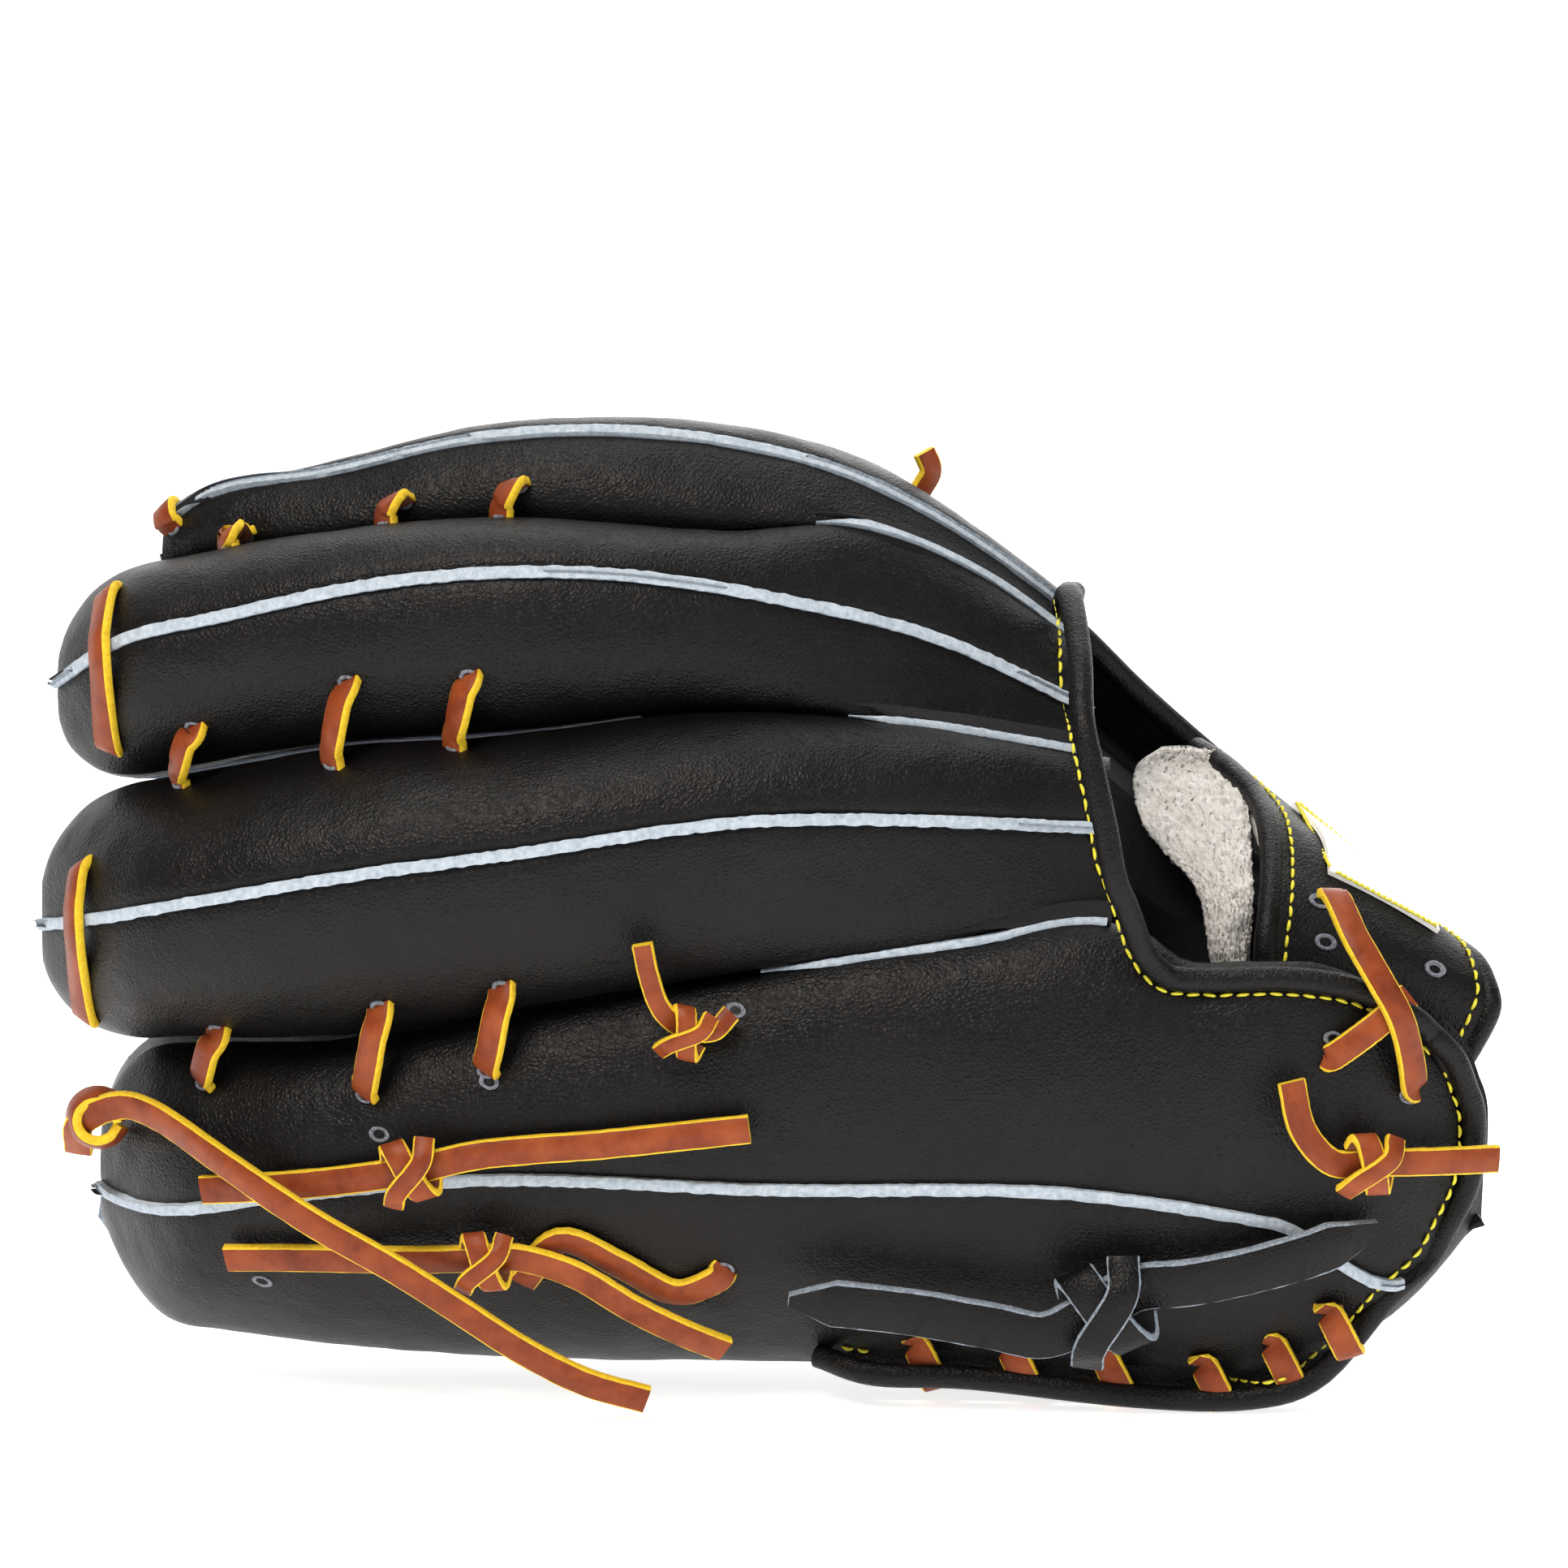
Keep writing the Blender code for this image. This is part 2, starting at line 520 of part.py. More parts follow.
def main():
    clear_scene()
    for finger, stall in STALLS.items():
        make_panels(finger, stall)
        ridge_welt(finger, stall)
    crease_welt("pinky_ring_welt", PINKY_TOP, 0.0, 62.0, STALLS["ring"].walls[0])
    crease_welt("ring_middle_welt", RING_TOP, 20.0, 70.0, STALLS["middle"].walls[0])
    crease_welt("middle_index_welt", MIDDLE_TOP, 12.0, 65.0, STALLS["index"].walls[0])
    palm_sheet("palm_finger_side", ("pinky", "ring", "middle", "index"), 14, 6)
    palm_sheet("palm_thumb_side", ("thumb",), 12, 0)
    for finger, start, end in (("pinky", -122, -8), ("ring", -138, -8), ("middle", -135, -8),
                               ("index", -100, -8), ("thumb", -98, -8)):
        finger_felt(finger, STALLS[finger], start, end)
    web_sheet()
    wrist_strap()
    flat_lace("rim_binding", RIM, (-0.6, -0.8, 0.1), BINDING_WIDTH, BINDING_THICK, 16, "black_leather")
    flat_lace("heel_binding", HEEL, (0.0, -1.0, 0.0), BINDING_WIDTH, BINDING_THICK, 12, "black_leather")
    flat_lace("heel_roll", HEEL_ROLL, (0.0, 0.0, 1.0), 6.0, 5.0, 8, "black_leather")
    crease_laces()
    tip_laces()
    for name, (points, out, width, lump) in TIES.items():
        finish = "black_leather" if name == "pinky_strap_tie" else "lace_leather"
        flat_lace(name, points, out, width, LACE_THICK, 3 * len(points), finish, lump)
    for k, (x, y, z) in enumerate(HEEL_LOOPS):
        points = [(x - 2.5, y - 3.2, z + 6.0), (x - 1.0, y - 3.8, z + 3.0), (x + 1.5, y - 2.8, z - 1.5)]
        flat_lace(f"heel_lace_{k + 1}", points, (0.1, -0.85, -0.5), count=5)


main()
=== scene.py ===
"""Looks of the fielder's glove: fine leather, welts, laces, stitches, wool and studio."""
import math
import random

import bpy
import bmesh
import numpy as np
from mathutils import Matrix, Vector, noise


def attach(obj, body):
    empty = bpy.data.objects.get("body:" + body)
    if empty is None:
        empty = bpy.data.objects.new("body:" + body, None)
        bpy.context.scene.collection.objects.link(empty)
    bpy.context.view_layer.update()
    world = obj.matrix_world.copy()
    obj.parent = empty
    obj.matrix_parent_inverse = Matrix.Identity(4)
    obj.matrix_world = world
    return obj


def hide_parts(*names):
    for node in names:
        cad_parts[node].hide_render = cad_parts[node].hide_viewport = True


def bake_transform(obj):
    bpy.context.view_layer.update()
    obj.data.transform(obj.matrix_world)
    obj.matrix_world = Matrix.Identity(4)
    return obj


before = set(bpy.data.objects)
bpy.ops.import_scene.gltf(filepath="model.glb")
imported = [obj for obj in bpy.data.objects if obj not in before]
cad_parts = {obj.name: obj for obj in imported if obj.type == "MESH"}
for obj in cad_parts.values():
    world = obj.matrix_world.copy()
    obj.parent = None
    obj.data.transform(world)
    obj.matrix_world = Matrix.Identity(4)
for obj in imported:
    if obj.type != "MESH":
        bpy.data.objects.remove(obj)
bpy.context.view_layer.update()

MM = 0.001
ORIGIN = (4.0, 44.7, 0.0)  # the middle of the base, in the coordinates that the seams use

# Sizes in millimetres, as in the model
BACK_LEATHER = 2.6  # a little more than the plain panels, to cover them
PALM_LEATHER = 3.0
SEAM = 2.2
LACE_WIDTH = 6.3
LACE_THICK = 2.2
TIP_CUT = 0.8             # the fine panels reach further into the fingertips than the plain ones
PALM_ASIDE = 1.3
PALM_BULGE = 2.0
FOLD_ROOM = 9.0
WELT_PROUD = 1.3
random.seed(11)

# Seams of the finger bank: (x, y, z) from the fingertips to the wrist
PINKY_EDGE = [(-147, 38, 17), (-140, 38, 13), (-120, 38, 10), (-60, 34, 5), (-8, 28, 5), (45, 10, 6),
              (81, -2, 6), (105, -9, 7), (121, -9, 11), (136, -8, 20), (146, -9, 30)]
PINKY_RIDGE = [(-147, 14, 40), (-131, -8, 43), (-110, -20, 48), (-66, -29, 54), (3, -34, 53),
               (70, -35, 52), (110, -31, 45), (146, -21, 35), (152, -18, 44), (157, -15, 58)]
PINKY_TOP = [(-131, 12, 78), (-90, -10, 83), (-60, -17, 89), (-1, -25, 100), (45, -26, 107),
             (74, -24, 111), (82, -24, 109), (90, -25, 103.5), (105, -27, 103), (118, -27, 103),
             (131, -26, 98), (144, -22, 89), (152, -18, 80), (157, -15, 64)]
RING_RIDGE = [(-160, 8, 103), (-143, -16, 110), (-118, -31, 117), (-90, -38, 123), (-57, -41, 128),
              (-2, -38, 135), (45, -28, 133), (74, -19, 130)]
RING_TOP = [(-136, 16, 135), (-90, -3, 146), (-60, -9, 149), (-8, -13, 155), (32, -12, 152), (74, -6, 144)]
MIDDLE_RIDGE = [(-156, 18, 157), (-143, 2, 167), (-118, -9, 175), (-80, -17, 184), (-36, -19, 186),
                (5, -13, 179), (37, -1, 169), (70, 10, 152)]
MIDDLE_TOP = [(-134, 34, 179), (-96, 16, 189), (-60, 9, 193), (-11, 6, 191), (24, 9, 191),
              (48, 19, 179), (69, 26, 163)]
INDEX_RIDGE = [(-141, 44, 181), (-128, 35, 193), (-96, 25, 202), (-58, 18, 211), (-11, 17, 210),
               (21, 20, 201), (48, 27, 185), (67, 33, 170)]
INDEX_EDGE = [(-136, 60, 163), (-120, 57, 174), (-96, 54, 184), (-58, 50, 194), (-11, 48, 198), (21, 48, 194),
              (48, 50, 177), (67, 50, 166)]

# Seams of the thumb, which faces +Y
THUMB_TOP = [(-112, 112, 128), (-90, 104, 146), (-57, 97, 158), (-25, 88, 168), (0, 74, 180),
             (15, 62, 189), (30, 57, 186), (48, 57, 174), (67, 59, 162), (83, 62, 146), (110, 66, 122),
             (140, 60, 100)]
THUMB_RIDGE = [(-122, 120, 114), (-90, 126, 119), (-57, 130, 122), (0, 128, 128), (50, 118, 122),
               (90, 108, 102), (130, 94, 76), (142, 86, 66)]
THUMB_EDGE = [(-112, 112, 98), (-90, 106, 86), (-57, 102, 74), (-11, 101, 56), (30, 101, 34),
              (60, 100, 10), (90, 94, 4), (115, 84, 10), (134, 74, 30), (142, 70, 44)]


# Palm leather of each finger: where it ends, its depths below the seams (low and high edge, at the
# finger and at the hand), and its last two points at the wrist
PALM_REACH = {
    "pinky": (140.0, (3.5, 12.0, 3.5, 34.0), ((136, 2, 24), (146, 14, 62))),
    "ring": (140.0, (12.0, 12.0, 34.0, 34.0), ((146, 15, 63), (145, 26, 72))),
    "middle": (136.0, (12.0, 12.0, 34.0, 32.0), ((145, 27, 73), (141, 36, 77))),
    "index": (126.0, (12.0, 6.0, 32.0, 30.0), ((140, 37, 78), (134, 44, 80))),
    "thumb": (128.0, (4.0, 12.0, 4.0, 22.0), ((128, 68, 34), (128, 64, 78))),
}

STALL_WALL = 9.0  # how far a side wall hangs between two fingers
HEM = 1.0


def line(points):
    """A smooth curve through points that run along X, read at any x."""
    pts = np.array(points, dtype=float)
    xs = pts[:, 0]
    slopes = np.gradient(pts[:, 1:], xs, axis=0)

    def at(x):
        k = int(np.clip(np.searchsorted(xs, x) - 1, 0, len(xs) - 2))
        step = xs[k + 1] - xs[k]
        u = (x - xs[k]) / step
        if u < 0.0 or u > 1.0:
            end = 0 if u < 0.0 else len(xs) - 1
            yz = pts[end, 1:] + slopes[end] * (x - xs[end])
        else:
            a = (1 + 2 * u) * (1 - u) ** 2
            b = u * (1 - u) ** 2 * step
            c = u * u * (3 - 2 * u)
            d = u * u * (u - 1) * step
            yz = a * pts[k, 1:] + b * slopes[k] + c * pts[k + 1, 1:] + d * slopes[k + 1]
        return np.array((x, yz[0], yz[1]))
    return at


def unit(v):
    return np.array(v, dtype=float) / np.linalg.norm(v)


def outward(angle, side=-1.0):
    """The way a ridge faces: angle in degrees above the horizontal, side -1 front or +1 thumb."""
    a = math.radians(angle)
    return np.array((0.0, side * math.cos(a), math.sin(a)))


class Stall:
    """One finger: two panels that rise from its edges to the ridge, closed round at the tip."""

    def __init__(self, low, ridge, high, angle, tip, round_length, wrist, walls, side=-1.0):
        self.walls = [outward(walls[0], side), outward(walls[1], side)]
        self.low = line(low)
        self.ridge = line(ridge)
        self.high = line(high)
        self.out = outward(angle, side)
        self.tip = tip
        self.cut = TIP_CUT if angle < 50 else 12.0 * TIP_CUT
        self.round_length = round_length
        self.wrist = wrist

    def close(self, x):
        """1 along the finger, falling round to nothing at the tip."""
        u = (self.tip + self.round_length - x) / self.round_length
        return (1.0 - min(max(u, 0.0), 0.97) ** 2.4) ** (1 / 2.4)

    def core(self, x):
        low = self.low(x)
        high = self.high(x)
        return 0.5 * (low + high) * 0.55 + self.ridge(x) * 0.45

    def edge(self, x, upper):
        core = self.core(x)
        point = self.high(x) if upper else self.low(x)
        return core + (point - core) * self.close(x)

    def crest(self, x):
        core = self.core(x)
        return core + (self.ridge(x) - core) * self.close(x)

    def inset(self, x, upper):
        """The way from an edge towards the finger's middle, square to the stall's side wall."""
        into = self.walls[1 if upper else 0]
        way = self.high(x) - self.low(x)
        way = way * (-1.0 if upper else 1.0)
        return unit(way - into * np.dot(way, into))

    def foot(self, x, upper, depth, aside):
        """A point inside the glove, depth below an edge and aside from its wall."""
        into = self.walls[1 if upper else 0]
        return self.edge(x, upper) - into * depth + self.inset(x, upper) * aside

    def point(self, x, upper, t):
        """On the leather: t is 0 at the panel's outer edge and 1 on the ridge."""
        edge = self.edge(x, upper)
        crest = self.crest(x)
        rise = crest - edge
        bulge = np.dot(rise, self.out)
        along = rise - self.out * bulge
        angle = 0.5 * math.pi * t
        return edge + along * (1 - math.cos(angle)) + self.out * bulge * math.sin(angle)


STALLS = {
    "pinky": Stall(PINKY_EDGE, PINKY_RIDGE, PINKY_TOP, -14, -148.5, 22, 157, (-20, -5)),
    "ring": Stall(PINKY_TOP, RING_RIDGE, RING_TOP, 4, -160.5, 26, 75, (-5, 14)),
    "middle": Stall(RING_TOP, MIDDLE_RIDGE, MIDDLE_TOP, 24, -157, 24, 71, (14, 41)),
    "index": Stall(MIDDLE_TOP, INDEX_RIDGE, INDEX_EDGE, 58, -143, 22, 67, (41, 85)),
    "thumb": Stall(THUMB_EDGE, THUMB_RIDGE, THUMB_TOP, 10, -122, 26, 141, (-15, 75), side=1.0),
}


def smooth_path(points, count):
    """count points on a Catmull-Rom curve through points."""
    pts = np.array(points, dtype=float)
    ends = np.vstack((2 * pts[0] - pts[1], pts, 2 * pts[-1] - pts[-2]))
    out = []
    for s in np.linspace(0, len(pts) - 1, count):
        k = min(int(s), len(pts) - 2)
        u = s - k
        p0, p1, p2, p3 = ends[k:k + 4]
        out.append(0.5 * (2 * p1 + (p2 - p0) * u + (2 * p0 - 5 * p1 + 4 * p2 - p3) * u ** 2
                          + (3 * p1 - p0 - 3 * p2 + p3) * u ** 3))
    return np.array(out)


def grid_normals(grid):
    """Unit normals of a grid of points, from its rows and columns."""
    along = np.gradient(grid, axis=0)
    across = np.gradient(grid, axis=1)
    normals = np.cross(along, across)
    return normals / np.linalg.norm(normals, axis=2, keepdims=True)


def ease(x, start, end):
    u = min(max((x - start) / (end - start), 0.0), 1.0)
    return u * u * (3.0 - 2.0 * u)


def palm_depth(x, edge_depth, hand_depth):
    return edge_depth + (hand_depth - edge_depth) * ease(x, -5.0, 60.0)


def palm_columns(stall, s, reach, depths, wrist_points):
    """Low edge, middle and high edge of the palm leather behind one finger."""
    start = stall.tip + stall.cut + 1.0
    x = start + (reach - start) * s
    near = min(x, stall.wrist)
    low = stall.foot(near, False, palm_depth(near, depths[0], depths[2]), PALM_ASIDE)
    aside = PALM_ASIDE + (FOLD_ROOM * ease(x, -20.0, 20.0) if stall is STALLS["thumb"] else 0.0)
    high = stall.foot(near, True, palm_depth(near, depths[1], depths[3]), aside)
    if x > near:
        u = (x - near) / (reach - near)
        low = low + (np.array(wrist_points[0]) - low) * u
        high = high + (np.array(wrist_points[1]) - high) * u
    middle = (low + high) / 2 - stall.out * PALM_BULGE
    return [low, middle, high]


# ---------------------------------------------------------------- materials

def new_material(name, colour, roughness):
    made = bpy.data.materials.new(name)
    made.use_nodes = True
    tree = made.node_tree
    shader = tree.nodes["Principled BSDF"]
    shader.inputs["Base Color"].default_value = (*colour, 1.0)
    shader.inputs["Roughness"].default_value = roughness
    return made, tree, shader


def position(tree, scale=1.0):
    coords = tree.nodes.new("ShaderNodeTexCoord")
    mapping = tree.nodes.new("ShaderNodeMapping")
    mapping.inputs["Scale"].default_value = (scale, scale, scale)
    tree.links.new(coords.outputs["Object"], mapping.inputs["Vector"])
    return mapping.outputs["Vector"]


def noise_node(tree, scale, detail=3.0, roughness=0.55, vector=None):
    made = tree.nodes.new("ShaderNodeTexNoise")
    made.inputs["Scale"].default_value = scale
    made.inputs["Detail"].default_value = detail
    made.inputs["Roughness"].default_value = roughness
    tree.links.new(vector or position(tree), made.inputs["Vector"])
    return made.outputs["Fac"]


def ramp(tree, value, stops):
    made = tree.nodes.new("ShaderNodeValToRGB")
    elements = made.color_ramp.elements
    while len(elements) < len(stops):
        elements.new(0.5)
    for element, (place, colour) in zip(elements, stops):
        element.position = place
        element.color = (*colour, 1.0)
    tree.links.new(value, made.inputs["Fac"])
    return made.outputs["Color"]


def spread(tree, value, low, high):
    made = tree.nodes.new("ShaderNodeMapRange")
    made.inputs["To Min"].default_value = low
    made.inputs["To Max"].default_value = high
    tree.links.new(value, made.inputs["Value"])
    return made.outputs["Result"]


def bump(tree, shader, height, strength, distance, before=None):
    made = tree.nodes.new("ShaderNodeBump")
    made.inputs["Strength"].default_value = strength
    made.inputs["Distance"].default_value = distance
    tree.links.new(height, made.inputs["Height"])
    if before is not None:
        tree.links.new(before, made.inputs["Normal"])
    tree.links.new(made.outputs["Normal"], shader.inputs["Normal"])
    return made.outputs["Normal"]


def black_leather():
    """Full-grain black leather: fine cells, soft folds and a broad warm sheen."""
    made, tree, shader = new_material("black_leather_fine", (0.012, 0.012, 0.014), 0.42)
    cells = tree.nodes.new("ShaderNodeTexVoronoi")
    cells.feature = "DISTANCE_TO_EDGE"
    cells.inputs["Scale"].default_value = 950.0
    warp = noise_node(tree, 320.0, 3.0)
    mix = tree.nodes.new("ShaderNodeVectorMath")
    mix.operation = "MULTIPLY_ADD"
    tree.links.new(warp, mix.inputs[0])
    mix.inputs[1].default_value = (0.0012, 0.0012, 0.0012)
    tree.links.new(position(tree), mix.inputs[2])
    tree.links.new(mix.outputs[0], cells.inputs["Vector"])
    grain = spread(tree, cells.outputs["Distance"], 0.0, 1.0)
    first = bump(tree, shader, grain, 0.7, 0.00035)
    pores = noise_node(tree, 1500.0, 2.0)
    second = bump(tree, shader, pores, 0.3, 0.0003, first)
    folds = noise_node(tree, 60.0, 4.0)
    bump(tree, shader, folds, 0.45, 0.0022, second)
    patches = noise_node(tree, 38.0, 4.0)
    tree.links.new(ramp(tree, patches, ((0.25, (0.0016, 0.0016, 0.002)), (0.75, (0.005, 0.0042, 0.004)))),
                   shader.inputs["Base Color"])
    tree.links.new(spread(tree, noise_node(tree, 90.0, 5.0), 0.34, 0.52), shader.inputs["Roughness"])
    shader.inputs["Specular IOR Level"].default_value = 0.22
    shader.inputs["Sheen Weight"].default_value = 0.0
    shader.inputs["Sheen Roughness"].default_value = 0.5
    return made


def fibrous(name, dark, light, roughness, scale=900.0, strength=0.6, distance=0.0006):
    """Raw-cut or flesh-side leather: mottled colour and a torn, fibrous surface."""
    made, tree, shader = new_material(name, light, roughness)
    fibres = noise_node(tree, scale, 6.0, 0.7)
    tree.links.new(ramp(tree, fibres, ((0.3, dark), (0.7, light))), shader.inputs["Base Color"])
    bump(tree, shader, fibres, strength, distance)
    return made


def lace_face():
    """The waxed top side of a lace: red-brown, mottled darker and lighter at random, finely creased."""
    made, tree, shader = new_material("lace_face", (0.32, 0.08, 0.032), 0.42)
    patches = noise_node(tree, 130.0, 5.0, 0.6)
    tree.links.new(ramp(tree, patches, ((0.25, (0.13, 0.019, 0.004)), (0.5, (0.24, 0.045, 0.010)),
                                        (0.8, (0.34, 0.078, 0.02)))), shader.inputs["Base Color"])
    first = bump(tree, shader, noise_node(tree, 1100.0, 4.0, 0.65), 0.3, 0.0003)
    bump(tree, shader, noise_node(tree, 240.0, 3.0), 0.25, 0.0008, first)
    tree.links.new(spread(tree, noise_node(tree, 300.0), 0.34, 0.55), shader.inputs["Roughness"])
    shader.inputs["Specular IOR Level"].default_value = 0.25
    return made


def wool_material():
    made, tree, shader = new_material("wool_fine", (0.86, 0.83, 0.77), 1.0)
    tufts = noise_node(tree, 420.0, 6.0, 0.7)
    tree.links.new(ramp(tree, tufts, ((0.25, (0.66, 0.62, 0.55)), (0.6, (0.93, 0.91, 0.87)))),
                   shader.inputs["Base Color"])
    bump(tree, shader, tufts, 0.8, 0.002)
    shader.inputs["Sheen Weight"].default_value = 0.5
    return made


def label_material():
    """A plain white woven patch."""
    made, tree, shader = new_material("label_fine", (0.88, 0.88, 0.86), 0.75)
    weave = tree.nodes.new("ShaderNodeTexChecker")
    weave.inputs["Scale"].default_value = 2200.0
    tree.links.new(position(tree), weave.inputs["Vector"])
    bump(tree, shader, weave.outputs["Fac"], 0.3, 0.0002)
    tree.links.new(ramp(tree, noise_node(tree, 500.0), ((0.2, (0.8, 0.8, 0.78)), (0.8, (0.93, 0.93, 0.91)))),
                   shader.inputs["Base Color"])
    return made


def thread_material():
    made, tree, shader = new_material("thread_fine", (0.85, 0.76, 0.03), 0.5)
    twist = noise_node(tree, 1600.0, 2.0)
    tree.links.new(ramp(tree, twist, ((0.2, (0.62, 0.52, 0.015)), (0.7, (0.92, 0.84, 0.05)))),
                   shader.inputs["Base Color"])
    bump(tree, shader, twist, 0.5, 0.0003)
    return made


LEATHER = black_leather()
WELT = fibrous("welt_fine", (0.30, 0.37, 0.44), (0.60, 0.67, 0.74), 0.95, 700.0, 0.7, 0.0007)
RAW_EDGE = fibrous("black_raw_edge", (0.10, 0.13, 0.17), (0.42, 0.48, 0.55), 0.95, 1100.0, 0.7, 0.0006)
SUEDE = fibrous("black_flesh_side", (0.003, 0.003, 0.004), (0.012, 0.012, 0.015), 0.95, 800.0, 0.7, 0.0007)
LACE_TOP = lace_face()
LACE_EDGE = fibrous("lace_edge", (0.72, 0.42, 0.01), (0.95, 0.68, 0.02), 0.75, 900.0, 0.6, 0.0005)
LACE_BACK = fibrous("lace_back", (0.12, 0.035, 0.012), (0.30, 0.10, 0.035), 0.95, 900.0, 0.8, 0.0008)
WOOL = wool_material()
LABEL = label_material()
THREAD = thread_material()
FELT = fibrous("felt_fine", (0.42, 0.40, 0.36), (0.62, 0.6, 0.55), 1.0, 600.0, 0.6, 0.0008)
HOLE = fibrous("hole_rim", (0.06, 0.065, 0.08), (0.30, 0.32, 0.37), 0.9, 1500.0, 0.4, 0.0003)
# Painted shade: the near-black disc in each punched hole stands in for the shade inside the hole.
SHADOW = fibrous("hole_painted_shade", (0.002, 0.002, 0.002), (0.006, 0.006, 0.006), 1.0, 900.0, 0.2, 0.0002)


# ---------------------------------------------------------------- meshes

def make(name, verts, faces, materials, body, face_slots=None, angle=50, replaces=()):
    """A piece from vertices in millimetres, riding on its body."""
    mesh = bpy.data.meshes.new(name)
    mesh.from_pydata([tuple((float(c) - o) * MM for c, o in zip(v, ORIGIN)) for v in verts], [], faces)
    for material in materials:
        mesh.materials.append(material)
    if face_slots is not None:
        mesh.polygons.foreach_set("material_index", face_slots)
    work = bmesh.new()
    work.from_mesh(mesh)
    bmesh.ops.recalc_face_normals(work, faces=work.faces)
    if work.calc_volume(signed=True) < 0:
        bmesh.ops.reverse_faces(work, faces=work.faces)
    work.to_mesh(mesh)
    work.free()
    mesh.shade_smooth()
    mesh.set_sharp_from_angle(angle=math.radians(angle))
    made = bpy.data.objects.new(name, mesh)
    bpy.context.scene.collection.objects.link(made)
    if body:
        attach(made, body)
    if replaces:
        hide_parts(*replaces)
    return made


def sheet_faces(rows, cols, skip=()):
    """Faces of a two-layer sheet; the second list says which are on its rim."""
    count = rows * cols
    faces, rim = [], []
    cells = {(i, j) for i in range(rows - 1) for j in range(cols - 1)} - set(skip)
    for i, j in sorted(cells):
        quad = [(i, j), (i + 1, j), (i + 1, j + 1), (i, j + 1)]
        faces.append([a * cols + b for a, b in quad])
        rim.append(0)
        faces.append([count + a * cols + b for a, b in reversed(quad)])
        rim.append(2)
        beside = [(i, j - 1), (i + 1, j), (i, j + 1), (i - 1, j)]
        for k in range(4):
            if beside[k] not in cells:
                a = quad[k][0] * cols + quad[k][1]
                b = quad[(k + 1) % 4][0] * cols + quad[(k + 1) % 4][1]
                faces.append([b, a, count + a, count + b])
                rim.append(1)
    return faces, rim


def fine_sheet(name, grid, thickness, inward, body, materials=None, skip=(), rough=0.38, replaces=()):
    """A leather sheet with slow waves in its surface, raw at its rim and inside."""
    grid = np.array(grid, dtype=float)
    normals = grid_normals(grid)
    normals *= np.sign(np.sum(normals * inward, axis=2).mean())
    for i in range(grid.shape[0]):
        for j in range(grid.shape[1]):
            p = grid[i, j]
            wave = noise.noise(Vector(p) / 17.0) + 0.5 * noise.noise(Vector(p) / 7.0)
            grid[i, j] = p + normals[i, j] * rough * wave
    inner = grid + normals * thickness
    rows, cols = grid.shape[:2]
    faces, rim = sheet_faces(rows, cols, skip)
    verts = np.concatenate((grid.reshape(-1, 3), inner.reshape(-1, 3)))
    used = sorted({v for face in faces for v in face})
    place = {v: k for k, v in enumerate(used)}
    faces = [[place[v] for v in face] for face in faces]
    materials = materials or (LEATHER, RAW_EDGE, SUEDE)
    return make(name, verts[used], faces, materials, body, rim, replaces=replaces)


def sweep(name, path, outs, section, materials, body, section_slots=None, grow=None, replaces=(),
          ragged=0.0):
    """A closed section, given as (across, up) points, swept along a path."""
    path = np.array(path, dtype=float)
    outs = np.broadcast_to(np.array(outs, dtype=float), path.shape)
    tangents = np.gradient(path, axis=0)
    size = len(section)
    verts = []
    for k, point in enumerate(path):
        along = unit(tangents[k])
        across = unit(np.cross(along, outs[k]))
        up = np.cross(across, along)
        scale = (1.0, 1.0) if grow is None else grow[k]
        for a, b in section:
            torn = 1.0 + ragged * random.uniform(-1.0, 1.0)
            verts.append(point + across * a * scale[0] * torn + up * b * scale[1])
    faces, kinds = [], []
    for k in range(len(path) - 1):
        for c in range(size):
            d = (c + 1) % size
            faces.append([size * k + c, size * k + d, size * (k + 1) + d, size * (k + 1) + c])
            kinds.append(section_slots[c] if section_slots else 0)
    last = size * (len(path) - 1)
    faces.append(list(range(size - 1, -1, -1)))
    faces.append([last + c for c in range(size)])
    kinds += [1 if section_slots else 0] * 2
    return make(name, verts, faces, materials, body, kinds, replaces=replaces)


def flat_section(width, thick, bevel=0.35):
    """A flat lace's section: top face, two cut edges, and the flesh side, with soft corners."""
    w, t, b = width / 2, thick / 2, bevel
    points = [(-w, -t + b), (-w + b, -t), (w - b, -t), (w, -t + b), (w, t - b), (w - b, t),
              (0.0, t + 0.12), (-w + b, t), (-w, t - b)]
    slots = [1, 2, 1, 1, 1, 0, 0, 1, 1]
    return points, slots


def round_section(width, tall, count=14, power=2.0):
    points = []
    for k in range(count):
        a = 2 * math.pi * k / count
        c, s = math.cos(a), math.sin(a)
        points.append((width / 2 * math.copysign(abs(c) ** (2 / power), c),
                       tall / 2 * math.copysign(abs(s) ** (2 / power), s)))
    return points


def lace(name, points, outs, body="finger_side", width=LACE_WIDTH, thick=LACE_THICK, count=None, replaces=(),
         black=False, taper=0.0):
    """A flat lace on a smooth route: brown face, yellow cut edges and a rough back."""
    count = count or max(12, 5 * len(points))
    path = smooth_path(points, count)
    if np.ndim(outs) == 2:
        outs = smooth_path(outs, count)
    section, slots = flat_section(width, thick)
    grow = None
    if taper:
        grow = [(min(1.0, 0.25 + 1.6 * min(s, 1 - s) / taper), 1.0) for s in np.linspace(0, 1, count)]
    materials = (LEATHER, RAW_EDGE, SUEDE) if black else (LACE_TOP, LACE_EDGE, LACE_BACK)
    return sweep(name, path, outs, section, materials, body, slots, grow, replaces, 0.02)


